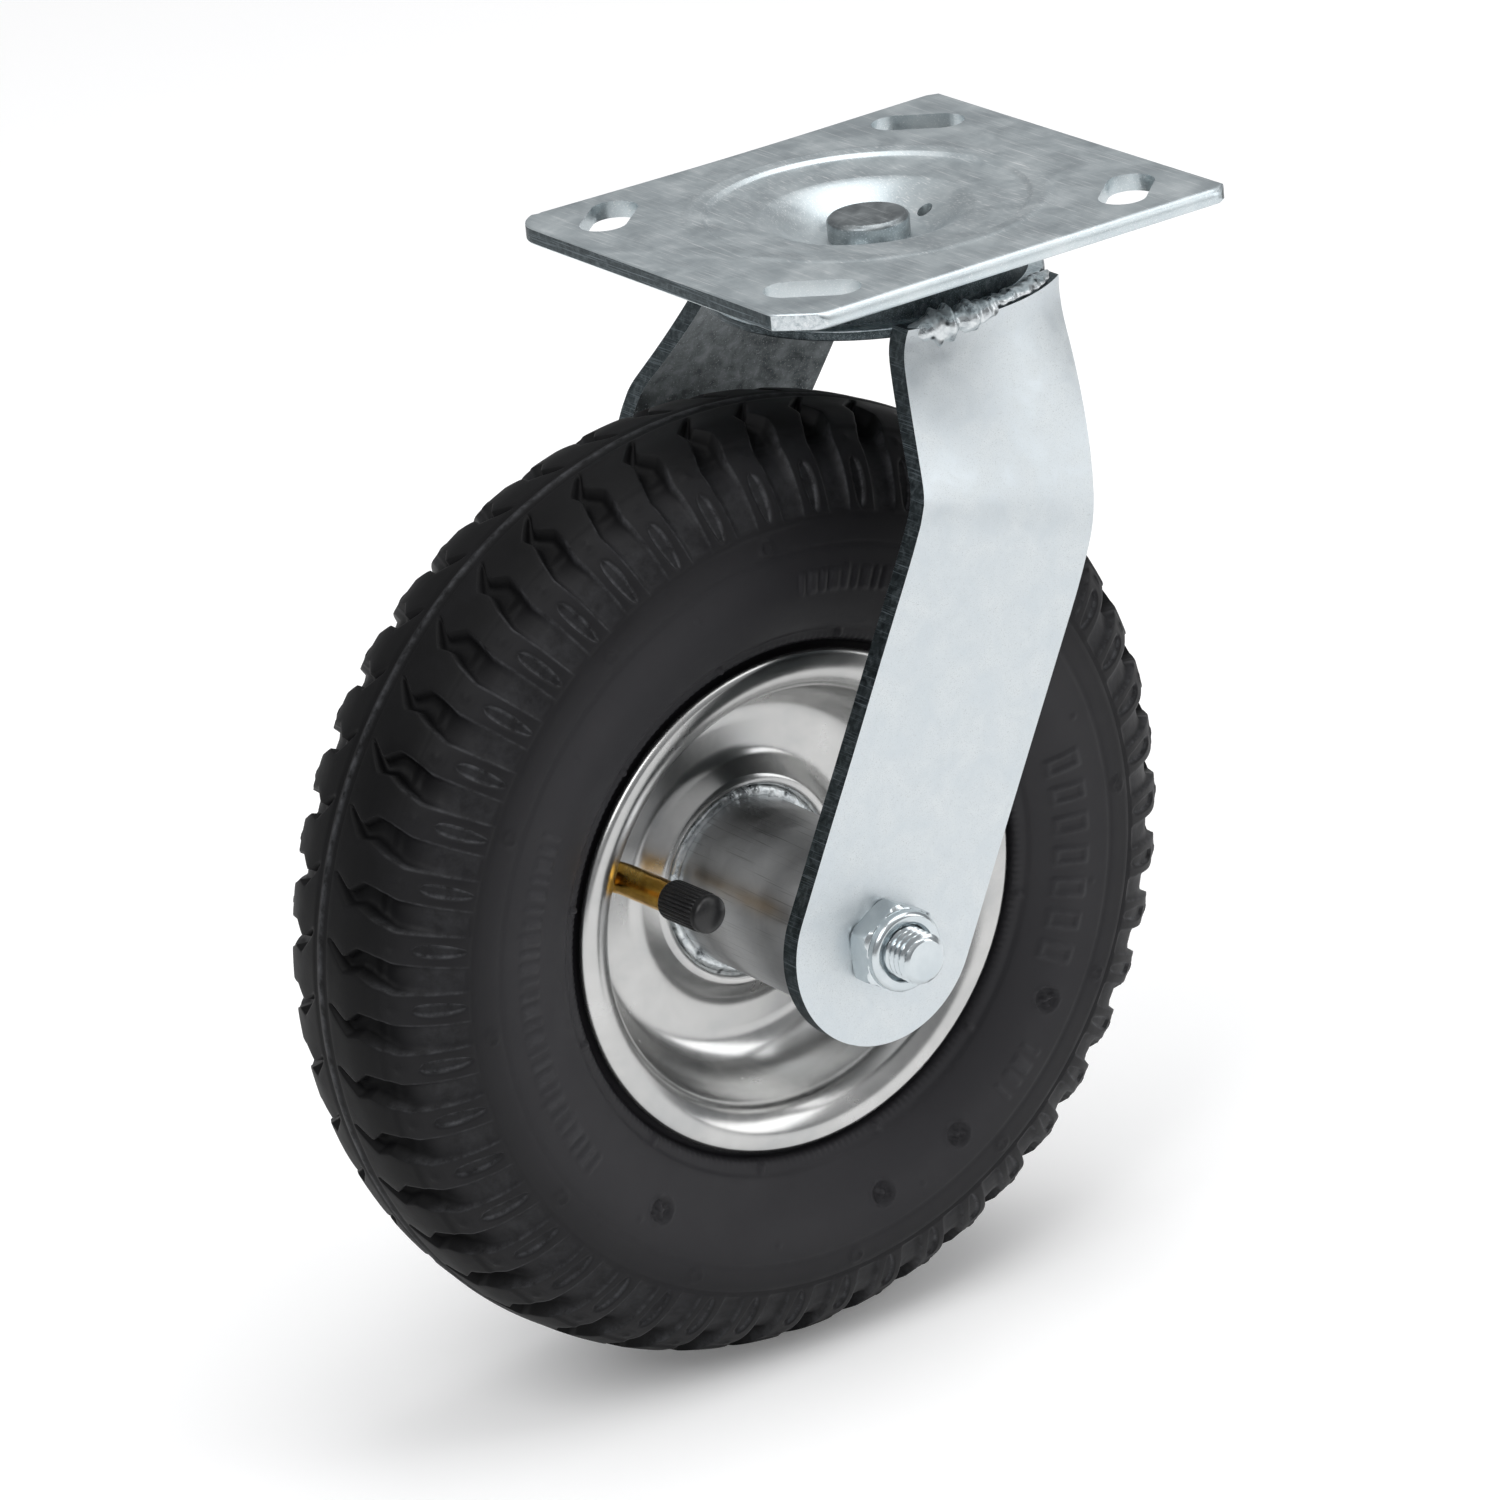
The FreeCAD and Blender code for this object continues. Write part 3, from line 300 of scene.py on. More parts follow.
# machine-cut zinc plated bolt and nut: crisp and bright
boltZinc = makeMetal("brightZincBolt", light="#C6CDD0", dark="#BBC3C7", tint="#D1D7DA", rough=0.21,
                     driftMm=12.0, scratches=[], grainMm=1.2, bump=0.02)

# hardened bearing steel: ground, faintly brown with oil
raceSteel = makeMetal("groundRaceSteel", light="#85878A", dark="#6C6E70", tint="#97999B",
                      rough=0.25, driftMm=6.0, scratches=[((0, 0, 0), 0.3)], scratch="#A9AAAB",
                      grainMm=0.4, bump=0.05)

# lapped bearing balls: even and mirror-bright
ballSteel = makeMetal("lappedBallSteel", light="#B4B6B8", dark="#A4A6A8", tint="#BFC1C2",
                      rough=0.08, driftMm=8.0, scratches=[], grainMm=0.6, bump=0.02)

# plain brass stem: warm yellow, dulled and browned where it was handled
brassStem = makeMetal("dulledBrass", light="#DCAB4A", dark="#CC9A40", tint="#EAC670", rough=0.25,
                      driftMm=7.0, scratches=[], grainMm=0.6, bump=0.06)


def makeRubber():
    # vulcanised tyre rubber: charcoal, semi-matt, with chalky dust in the recesses and on the seam
    material, tree, shader, coords = startMaterial("vulcanisedTyreRubber", "#1A1A1C",
                                                   0.0, 0.55, 1.52)
    blotch = addNode(tree, "ShaderNodeTexNoise",
                     values={"Scale": 1 / (22 * mm), "Detail": 6.0, "Roughness": 0.65},
                     links={"Vector": coords})
    base = addNode(tree, "ShaderNodeValToRGB", links={"Fac": blotch.outputs["Fac"]},
                   stops=[(0.32, "#0B0B0C"), (0.55, "#111112"), (0.8, "#19191B")]).outputs["Color"]
    wall = addNode(tree, "ShaderNodeAttribute", {"attribute_name": "wall"}).outputs["Fac"]
    wallShare = addNode(tree, "ShaderNodeMath", {"operation": "MULTIPLY"}, {1: 0.8}, {0: wall})
    base = addNode(tree, "ShaderNodeMix", {"data_type": "RGBA"}, {7: linear("#2B2A2E")},
                   {0: wallShare.outputs["Value"], 6: base}).outputs[2]
    sheen = addNode(tree, "ShaderNodeMapRange", values={"To Min": 0.10, "To Max": 0.34},
                    links={"Value": wall})
    tree.links.new(sheen.outputs["Result"], shader.inputs["Specular IOR Level"])
    dust = addNode(tree, "ShaderNodeAttribute", {"attribute_name": "dust"})
    patchy = addNode(tree, "ShaderNodeTexNoise",
                     values={"Scale": 1 / (3.2 * mm), "Detail": 5.0, "Roughness": 0.7},
                     links={"Vector": coords})
    patch = addNode(tree, "ShaderNodeMapRange", values={"From Min": 0.36, "From Max": 0.66},
                    links={"Value": patchy.outputs["Fac"]})
    amount = addNode(tree, "ShaderNodeMath", {"operation": "MULTIPLY"},
                     links={0: dust.outputs["Fac"], 1: patch.outputs["Result"]})
    chalk = addNode(tree, "ShaderNodeMix", {"data_type": "RGBA"}, {7: linear("#525356")},
                    {0: amount.outputs["Value"], 6: base})
    tree.links.new(chalk.outputs[2], shader.inputs["Base Color"])
    rough = addNode(tree, "ShaderNodeMapRange",
                    values={"From Min": 0.3, "From Max": 0.7, "To Min": 0.46, "To Max": 0.66},
                    links={"Value": blotch.outputs["Fac"]})
    tree.links.new(rough.outputs["Result"], shader.inputs["Roughness"])
    grain = addNode(tree, "ShaderNodeTexNoise", values={"Scale": 1 / (0.9 * mm), "Detail": 4.0},
                    links={"Vector": coords})
    bump = addNode(tree, "ShaderNodeBump", values={"Strength": 0.18, "Distance": 0.12 * mm},
                   links={"Height": grain.outputs["Fac"]})
    tree.links.new(bump.outputs["Normal"], shader.inputs["Normal"])
    return material


def makeMoulded(name, light, dark, rough, ior, grainMm, bumpAmount):
    # moulded goods with one fine even texture
    material, tree, shader, coords = startMaterial(name, light, 0.0, rough, ior)
    grain = addNode(tree, "ShaderNodeTexNoise", values={"Scale": 1 / (grainMm * mm), "Detail": 4.0},
                    links={"Vector": coords})
    colour = addNode(tree, "ShaderNodeValToRGB", links={"Fac": grain.outputs["Fac"]},
                     stops=[(0.35, dark), (0.65, light)]).outputs["Color"]
    tree.links.new(colour, shader.inputs["Base Color"])
    spread = addNode(tree, "ShaderNodeMapRange",
                     values={"From Min": 0.3, "From Max": 0.7, "To Min": rough * 0.85,
                             "To Max": rough * 1.15}, links={"Value": grain.outputs["Fac"]})
    tree.links.new(spread.outputs["Result"], shader.inputs["Roughness"])
    bump = addNode(tree, "ShaderNodeBump", values={"Strength": bumpAmount, "Distance": 0.06 * mm},
                   links={"Height": grain.outputs["Fac"]})
    tree.links.new(bump.outputs["Normal"], shader.inputs["Normal"])
    return material


tyreRubber = makeRubber()

# extruded butyl: dull and slightly powdery
tubeRubber = makeMoulded("butylTubeRubber", "#262628", "#1B1B1C", 0.55, 1.52, 1.2, 0.2)

# injection-moulded polythene: dense black with a soft sheen
capPlastic = makeMoulded("mouldedCapPlastic", "#1B1B1C", "#121213", 0.38, 1.46, 0.5, 0.15)
print("materials made")


tyre = {
    "radius": 112.8, "blocks": 46, "sipeAngle": 176.5, "step": 0.62,
    # half section from the crown to the bead: (radius, distance from the middle plane)
    "section": [(112.8, 0), (112.75, 4), (112.1, 9.5), (110.3, 15.0), (107.3, 20.2), (103.0, 24.6),
                (97.8, 27.8), (92.0, 29.75), (86.5, 30.75), (81.0, 31.0), (74.5, 30.4),
                (68.0, 28.3), (63.6, 25.9), (61.6, 24.0), (60.9, 22.4), (58.5, 21.8)],
    # how the groove wanders, opens and fades with distance from the crown
    "wander": [(0, -5.8), (3.2, -5.8), (8.5, -1.2), (12.2, -2.9), (21.5, 0), (60, 0)],
    "halfWidth": [(0, 0.2), (3.2, 0.3), (5.0, 0.8), (8.5, 1.4), (12.5, 2.6), (16, 3.2), (22, 3.3),
                  (39, 3.0)],
    "depth": [(0, 0), (3.1, 0), (4.0, 1.4), (6.5, 2.4), (10, 3.6), (15, 4.8), (19, 3.8), (25, 1.9),
              (31, 1.0), (38, 0.7), (39.2, 0)],
    "sipeFrom": 26.0, "sipeTo": 38.6, "sipeHalf": 1.7, "sipeDepth": 0.8,
    "seamHigh": 0.35, "seamHalf": 0.75, "shoulderStep": 0.4,
    # the line under the tread, the fine ribs inside it and the knurled line at the bead
    "lineRadius": 92.0, "lineDeep": 0.45, "ribHigh": 0.16, "ribPitch": 1.24, "ribBand": 5.0,
    "knurlRadius": 62.3, "knurlHigh": 0.30, "knurlTeeth": 240,
    # plain rings that close the form inside the rim
    "closeRadius": 51.2, "closeHalf": 19.0,
}

marks = {
    "stampRadius": 76.5, "stamps": [-129.6, -80.9, -63.1, -34.5], "repeats": 12, "farTurn": 11,
    "blockPipRadius": 106.8, "blockPipAt": 21.2,
    # raised bars: first and last angle, radius, half height, step in degrees
    "bars": [(150, 214, 77.5, 2.6, 2.5), (64, 88, 77.5, 2.6, 2.2), (-26, 12, 74.5, 4.4, 6.0),
             (-52, -42, 78.5, 2.6, 2.8)],
    "barHigh": 0.42, "barHalves": (0.55, 0.9, 1.5, 0.7, 1.2), "frameHalf": 2.3, "frameInner": 1.1,
}


def smoothSection(points, step):
    # even spacing along a Catmull-Rom curve
    knots = [np.array(p, float) for p in [points[0]] + points + [points[-1]]]
    dense = []
    for a, b, c, d in zip(knots, knots[1:], knots[2:], knots[3:]):
        for t in np.linspace(0, 1, 24, endpoint=False):
            dense.append(0.5 * (2 * b + (c - a) * t + (2 * a - 5 * b + 4 * c - d) * t ** 2
                                + (3 * b - a - 3 * c + d) * t ** 3))
    dense.append(knots[-1])
    dense = np.array(dense)
    length = np.concatenate([[0], np.cumsum(np.linalg.norm(np.diff(dense, axis=0), axis=1))])
    count = int(round(length[-1] / step)) + 1
    even = np.linspace(0, length[-1], count)
    return even, np.interp(even, length, dense[:, 0]), np.interp(even, length, dense[:, 1])


def table(name, s):
    return np.interp(s, [p[0] for p in tyre[name]], [p[1] for p in tyre[name]])


def ramp(x, start, stop):
    t = np.clip((x - start) / (stop - start), 0, 1)
    return t * t * (3 - 2 * t)


def buildTyre():
    s, r, y = smoothSection(tyre["section"], tyre["step"])
    treadLine = np.interp(-tyre["lineRadius"], -r, s)
    pitch = 2 * math.pi * tyre["radius"] / tyre["blocks"]
    half = table("halfWidth", s)
    deep = table("depth", s)
    wander = table("wander", s)
    inSipe = np.clip((s - tyre["sipeFrom"]) / (tyre["sipeTo"] - tyre["sipeFrom"]), 0, 1)
    leaf = tyre["sipeHalf"] * np.sqrt(np.clip(np.sin(math.pi * inSipe ** 0.8), 0, 1))
    sipeHalf = np.maximum(leaf, 0.25)
    # stations round one pitch, measured from the middle of the groove
    columns = []
    heights = []
    lips = []
    for i in range(len(s)):
        w = half[i]
        q = sipeHalf[i]
        mid = pitch / 2
        wall = [0, w * 0.50, w - 0.10, w + 0.45, w + 1.0]
        sipe = [mid - q - 0.30, mid - q + 0.12, mid - q * 0.4, mid + q * 0.4, mid + q - 0.12,
                mid + q + 0.30]
        fill = [(wall[-1] * (1 - t) + sipe[0] * t) for t in (0.33, 0.67)]
        back = [pitch - f for f in fill][::-1]
        stations = wall + fill + sipe + back + [pitch - x for x in wall[1:]][::-1]
        even = np.arange(len(stations)) * pitch / len(stations)
        loose = ramp(s[i], treadLine + 0.5, treadLine + 5)
        columns.append(np.array(stations) * (1 - loose) + even * loose)
        opened = ramp(leaf[i], 0.2, 0.8) * tyre["sipeDepth"]
        floor = deep[i]
        crest = 0.10 * ramp(floor, 0.2, 1.0)
        slope = [floor, floor, floor * 0.80, crest]
        heights.append(-np.array(slope + [0] * 4 + [opened] * 4 + [0] * 4 + slope[:0:-1]))
        # edges of the sipes and of the grooves are rubbed a little lighter
        lip = np.zeros(len(stations))
        lip[[8, 11]] = 0.75 * ramp(leaf[i], 0.2, 0.8)   # the two sides of a sipe
        shoulder = ramp(s[i], 13, 20) * (1 - ramp(s[i], treadLine - 3, treadLine))
        lip[[3, 16]] = 0.45 * shoulder   # the two sides of a groove
        lips.append(lip)
    columns = np.array(columns)
    heights = np.array(heights)
    perPitch = columns.shape[1]
    count = perPitch * tyre["blocks"]
    blockStart = np.repeat(np.arange(tyre["blocks"]) * pitch, perPitch)
    around = np.tile(columns, (1, tyre["blocks"])) + blockStart[None, :]
    fade = 1 - ramp(s, treadLine, treadLine + 8)
    firstGroove = math.radians(tyre["sipeAngle"]) + math.pi / tyre["blocks"]
    angle = (around + (wander * fade)[:, None]) / tyre["radius"] + firstGroove
    height = np.tile(heights, (1, tyre["blocks"]))
    dust = np.tile(np.array(lips), (1, tyre["blocks"]))
    sGrid = np.repeat(s[:, None], count, axis=1)
    rGrid = np.repeat(r[:, None], count, axis=1)
    inGroove = ramp(-height, 0.4, 0.8) * (1 - ramp(-height, 1.2, 2.2))
    dust += inGroove * ramp(sGrid, 20, 30) * (sGrid < treadLine) * 0.15

    # the tread blocks step down a little at the shoulder
    step = ramp(sGrid, 17.6, 18.3) * (sGrid < treadLine) * (1 - ramp(sGrid, 30, treadLine))
    height -= tyre["shoulderStep"] * step
    # moulding seam round the crown
    seam = np.exp(-(sGrid / tyre["seamHalf"]) ** 2)
    height += tyre["seamHigh"] * seam
    height -= 0.25 * np.exp(-((sGrid - 1.9) / 0.5) ** 2)
    dust += seam * 0.75
    # the line under the tread, the fine ribs inside it and the line that ends them
    height -= tyre["lineDeep"] * np.exp(-((sGrid - treadLine) / tyre["lineDeep"]) ** 2)
    ribStart = treadLine + 0.6
    ribEnd = treadLine + tyre["ribBand"]
    ribBand = ramp(sGrid, ribStart, ribStart + 0.6) * (1 - ramp(sGrid, ribEnd, ribEnd + 0.6))
    ribTurn = 2 * math.pi / tyre["ribPitch"]
    height += tyre["ribHigh"] * ribBand * np.sin((sGrid - treadLine) * ribTurn)
    height -= 0.35 * np.exp(-((sGrid - treadLine - 6.6) / 0.5) ** 2)
    # bead line with its fine knurl
    knurl = np.exp(-((rGrid - tyre["knurlRadius"]) / 0.7) ** 2) * (sGrid > treadLine)
    height += knurl * (tyre["knurlHigh"] + 0.12 * np.sin(angle * tyre["knurlTeeth"]))
    height -= 0.4 * np.exp(-((rGrid - 64.2) / 0.6) ** 2) * (sGrid > treadLine)

    # the sidewall is coloured greyer than the tread, in soft ramps out from the shoulder and past
    # the tread line
    wall = 0.25 * ramp(sGrid, 14, 26) + 0.5 * ramp(sGrid, treadLine - 6, treadLine + 16)
    sides = []
    for side in (-1, 1):
        relief = height.copy()
        chalk = dust.copy()
        addMarks(relief, chalk, angle, rGrid, sGrid, treadLine, side)
        sides.append((side, relief, chalk))
    return joinSides(s, r, y, angle, sides, count, wall)


def addMarks(relief, chalk, angle, rGrid, sGrid, treadLine, side):
    # raised and sunk moulding marks, each a small round or cross
    def spot(radius, degrees):
        gap = (angle - math.radians(degrees) + math.pi) % (2 * math.pi) - math.pi
        return gap * rGrid, rGrid - radius

    def localise(array, radius, degrees, size, shape):
        across, out = spot(radius, degrees)
        near = (np.abs(across) < size) & (np.abs(out) < size) & (sGrid > 10)
        array[near] += shape(across[near], out[near])

    def ring(size, high):
        return lambda a, b: high * np.exp(-((np.hypot(a, b) - size) / 0.35) ** 2)

    def pip(size, high):
        return lambda a, b: high * ramp(size - np.hypot(a, b), 0, 0.5)

    def cross(a, b):
        inside = ramp(3.3 - np.hypot(a, b), 0, 0.5)
        bars = np.maximum(ramp(0.75 - np.abs(a + b), 0, 0.5), ramp(0.75 - np.abs(a - b), 0, 0.5))
        bars = bars * ramp(2.5 - np.hypot(a, b), 0, 0.5)
        rim = np.exp(-((np.hypot(a, b) - 3.0) / 0.4) ** 2)
        return -0.9 * inside + 1.15 * bars + 0.6 * rim

    turn = 0 if side < 0 else marks["farTurn"]
    for degrees in marks["stamps"]:
        localise(relief, marks["stampRadius"], degrees + turn, 5, cross)
    for k in range(marks["repeats"]):
        around = 360 / marks["repeats"] * k + turn
        localise(relief, 88.4, 2.0 + around, 4, ring(1.5, 0.5))
        localise(relief, 88.4, 2.0 + around, 4, pip(0.8, 0.3))
        localise(relief, 80.5, 17.0 + around, 3, pip(0.9, 0.30))
        localise(relief, 63.4, 14.0 + around, 3, pip(1.1, 0.75))
    for k in range(tyre["blocks"]):
        degrees = tyre["sipeAngle"] + 360 / tyre["blocks"] * k
        across, out = spot(marks["blockPipRadius"], degrees)
        near = (np.abs(across) < 3.5) & (np.abs(out) < 4) & (sGrid > 16) & (sGrid < 26)
        reach = np.hypot(across[near], (sGrid[near] - marks["blockPipAt"]))
        relief[near] += 0.40 * ramp(1.3 - reach, 0, 0.5)
        relief[near] += 0.18 * np.exp(-((reach - 1.9) / 0.35) ** 2)
    # plain raised bars stand where a maker's words would be
    for start, stop, radius, tall, gap in marks["bars"]:
        degrees = start
        k = 0
        while degrees < stop:
            across, out = spot(radius, degrees + turn)
            near = (np.abs(across) < 4) & (np.abs(out) < tall + 1) & (sGrid > treadLine)
            offset = np.abs(across[near])
            rise = np.abs(out[near])

            def bar(wide, high):
                return ramp(wide - offset, -0.25, 0.25) * ramp(high - rise, -0.3, 0.3)

            if tall > 4:   # the big ones are plain frames
                edge = bar(marks["frameHalf"], tall) * (1 - bar(marks["frameInner"], tall - 1.3))
            else:
                edge = bar(marks["barHalves"][k % len(marks["barHalves"])], tall)
            relief[near] += marks["barHigh"] * edge
            chalk[near] += 0.12 * edge
            degrees += gap
            k += 1


def joinSides(s, r, y, angle, sides, count, wall):
    dr = np.gradient(r, s)
    dy = np.gradient(y, s)
    normalR = dy
    normalY = -dr
    points = []
    dusts = []
    walls = []
    rowCount = 0
    for side, relief, chalk in sides:
        order = range(len(s) - 1, -1, -1) if side < 0 else range(1, len(s))
        for i in order:
            radius = r[i] + relief[i] * normalR[i]
            along = (y[i] + relief[i] * normalY[i]) * side
            points.append(np.stack([axleX + radius * np.cos(angle[i]), along,
                                    axleZ + radius * np.sin(angle[i])], axis=1))
            dusts.append(chalk[i])
            walls.append(wall[i])
            rowCount += 1
    for along in (tyre["closeHalf"], -tyre["closeHalf"]):
        ring = np.stack([axleX + tyre["closeRadius"] * np.cos(angle[-1]), np.full(count, along),
                         axleZ + tyre["closeRadius"] * np.sin(angle[-1])], axis=1)
        points.append(ring)
        dusts.append(np.zeros(count))
        walls.append(np.ones(count))
        rowCount += 1
    piece = buildMesh("tyre_tread", np.concatenate(points).tolist(),
                      gridFaces(rowCount, count, True, True))
    fixNormals(piece)
    for attribute, values in (("dust", dusts), ("wall", walls)):
        layer = piece.data.attributes.new(attribute, "FLOAT", "POINT")
        layer.data.foreach_set("value", np.clip(np.concatenate(values), 0, 1))
    return piece


tyrePiece = buildTyre()
addMaterials(tyrePiece, tyreRubber)
finishPiece(tyrePiece, "wheel", "tyre_rubber", "tyre")
print("tyre made:", len(tyrePiece.data.vertices), "points")


rim = {
    "tube": 20.0, "tubeHalf": 48.5, "bore": 17.5, "bearingSeat": 37.5, "boreInside": 16.0,
    "holeAngle": 159.5, "holeFrom": -10.0, "holeRadius": 5.0, "holeReach": (36.0, 58.0),
    # pressed sheet from the hub out to the rolled flange and back: radius, distance out, rounding
    "sheet": [(20.1, 3.0), (20.1, 4.4), (21.9, 4.5, 0.6), (23.3, 6.7, 1.2), (25.0, 6.5, 1.6),
              (29.8, 2.1, 2.2), (40.8, 1.9, 6), (46.4, 8.2, 6), (48.9, 16.4, 3), (49.6, 20.8, 3),
              (51.9, 24.2, 2.2), (55.4, 26.1, 2.2), (58.9, 26.0, 1.2), (60.0, 24.6, 0.9),
              (59.3, 23.2, 0.7), (57.0, 24.0, 1.5), (53.3, 22.4, 1.5), (51.3, 19.7, 1.0),
              (50.8, 16.4, 2), (48.5, 7.4, 4), (42.6, -0.1, 5), (28.8, 0.0, 2), (24.5, 4.2, 1),
              (23.0, 3.4, 0.8), (22.4, 2.2, 0.6), (20.1, 2.2)],
}

hubWeld = {"radius": 20.7, "out": 4.9, "half": 1.5, "high": 1.1, "steps": 240, "lumps": 0.16}


def cutWith(piece, cutter):
    cut = piece.modifiers.new("cut", "BOOLEAN")
    cut.operation = "DIFFERENCE"
    cut.solver = "EXACT"
    cut.object = cutter
    applyModifiers(piece)
    bpy.data.objects.remove(cutter)


def valveHoleCutter():
    lean = math.radians(rim["holeAngle"])
    out = Vector((math.cos(lean), 0, math.sin(lean)))
    side = Vector((-math.sin(lean), 0, math.cos(lean)))
    points = []
    for reach in rim["holeReach"]:
        for k in range(32):
            turn = 2 * math.pi * k / 32
            spot = Vector((axleX, rim["holeFrom"], axleZ)) + out * reach
            spot += side * (rim["holeRadius"] * math.cos(turn))
            spot += Vector((0, rim["holeRadius"] * math.sin(turn), 0))
            points.append(tuple(spot))
    faces = gridFaces(2, 32) + [tuple(range(32)), tuple(range(32, 64))]
    cutter = buildMesh("cutter", points, faces)
    fixNormals(cutter)
    return cutter


for side, name in ((1, "far"), (-1, "near")):
    sheet = [(r, a * side) for r, a in softCorners(rim["sheet"], 0.5, 6)]
    half = turnedPiece("rim_shell_" + name, sheet, onAxle, 220)
    if name == "near":
        cutWith(half, valveHoleCutter())
    half.data.polygons.foreach_set("use_smooth", [True] * len(half.data.polygons))
    half.data.set_sharp_from_angle(angle=math.radians(40))
    addMaterials(half, rimChrome)
    finishPiece(half, "wheel", "rim_steel", "rim_" + name)

tubeEnd = rim["tubeHalf"]
tubeProfile = softCorners([(rim["bore"], -tubeEnd), (rim["tube"] - 0.5, -tubeEnd),
                           (rim["tube"], 0.5 - tubeEnd), (rim["tube"], tubeEnd - 0.5),
                           (rim["tube"] - 0.5, tubeEnd), (rim["bore"], tubeEnd)], 0.3, 3)
tubeProfile += [(rim["bore"], rim["bearingSeat"]), (rim["boreInside"], rim["bearingSeat"]),
                (rim["boreInside"], -rim["bearingSeat"]), (rim["bore"], -rim["bearingSeat"])]
hubTube = turnedPiece("hub_sleeve", tubeProfile, onAxle, 128, True, 30)
addMaterials(hubTube, tubeSteel)
finishPiece(hubTube, "wheel", "rim_steel", "hub_tube")


def lumpyBead(name, centre, size, span, place, count, seed, closed, lumps):
    # a weld run: a thick bead with ripples, lumps and a few sunk spots
    points = []
    ring = 20
    for i in range(count):
        t = i / (count if closed else count - 1)
        angle = span[0] + (span[1] - span[0]) * t
        wave = 0.2 * math.sin(t * count * 0.9) + noise.noise(Vector((t * 14, seed, 0)))
        ripple = 1 + lumps * wave
        end = 1.0 if closed else min(1.0, 5 * t + 0.3, 5 * (1 - t) + 0.3)
        for k in range(ring):
            turn = 2 * math.pi * k / ring
            around = Vector((t * 26, math.cos(turn) * 1.3 + seed, math.sin(turn) * 1.3))
            lump = 1 + lumps * noise.noise(around)
            across, high = size(t)
            r = centre(t)[0] + across * ripple * lump * end * math.cos(turn)
            along = centre(t)[1] + high * ripple * lump * end * math.sin(turn)
            points.append(place(r, angle, along))
    piece = buildMesh(name, points, gridFaces(count, ring, True, closed))
    if not closed:
        form = bmesh.new()
        form.from_mesh(piece.data)
        bmesh.ops.holes_fill(form, edges=[e for e in form.edges if e.is_boundary], sides=0)
        form.to_mesh(piece.data)
        form.free()
    fixNormals(piece)
    return piece


for side, name in ((1, "far"), (-1, "near")):
    bead = lumpyBead("hub_bead_" + name, lambda t: (hubWeld["radius"], hubWeld["out"] * side),
                     lambda t: (hubWeld["half"], hubWeld["high"]), (0, 2 * math.pi), onAxle,
                     hubWeld["steps"], side * 3.7, True, hubWeld["lumps"])
    addMaterials(bead, weldMetal)
    finishPiece(bead, "wheel", "weld_metal", "hub_weld_" + name)
print("rim and hub made")


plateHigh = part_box("top_plate")[1]
ballTrack = {"radius": 31.0, "height": -7.6, "round": 3.05}
plate = {
    "halfLength": plateHigh.x / mm, "halfWidth": plateHigh.y / mm, "thick": 4.0,
    "cut": 9.0, "nip": 2.5, "corner": 10.0, "millRound": 1.8, "shearRound": 0.5,
    "slotLength": 22.0, "slotWidth": 11.0, "slotX": 44.0, "slotY": 39.5, "slotTurn": 42.0,
    "grease": (16.4, 0.7, 1.8), "step": 2.4, "hollow": 1.3, "hollowSpan": 118.0,
    # the pressed dish from the pin outwards, on top and then underneath: radius, height
    "dishTop": [(6.0, -7.8), (12.6, -7.75), (14.6, -7.2), (17.5, -5.6), (20.5, -3.6),
                (23.2, -2.25), (24.6, -1.82), (25.0, -1.74), (25.4, -1.72), (29.0, -1.42),
                (34.0, -1.12), (36.2, -0.98), (36.9, -0.78), (37.5, -0.2), (38.1, 0.0),
                (39.6, 0.05), (40.4, 0.22), (41.2, 0.26), (42.0, 0.1), (42.8, 0.0)],
    "rimUnder": [(42.5, -4.0), (39.5, -4.2), (38.5, -4.9), (34.6, -5.0)],
    "dishUnder": [(27.2, -5.6), (24.0, -7.3), (19.5, -10.4), (17.0, -11.8), (6.0, -11.8)],
}


def plateOutline():
    hl = plate["halfLength"]
    hw = plate["halfWidth"]
    corners = [(-hl, -hw + plate["cut"]), (-hl + plate["cut"], -hw), (hl - plate["nip"], -hw),
               (hl, -hw + plate["nip"]), (hl, hw - plate["nip"]), (hl - plate["nip"], hw),
               (-hl + plate["corner"], hw)]
    arc = [(-hl + plate["corner"] + plate["corner"] * math.cos(a),
            hw - plate["corner"] + plate["corner"] * math.sin(a))
           for a in [math.radians(90 + 9 * k) for k in range(1, 11)]]
    loop = corners + arc
    outline = []
    for i, start in enumerate(loop):
        stop = loop[(i + 1) % len(loop)]
        gap = math.dist(start, stop)
        pieces = max(1, int(gap / plate["step"]))
        for k in range(pieces):
            t = k / pieces
            x = start[0] * (1 - t) + stop[0] * t
            y = start[1] * (1 - t) + stop[1] * t
            outline.append((x, y))
    return outline


def hollowY(x, y):
    # the back edge draws in slightly along its middle
    if y < plate["halfWidth"] - 0.01:
        return y
    return y - plate["hollow"] * max(0.0, math.cos(math.pi * x / plate["hollowSpan"])) ** 1.2


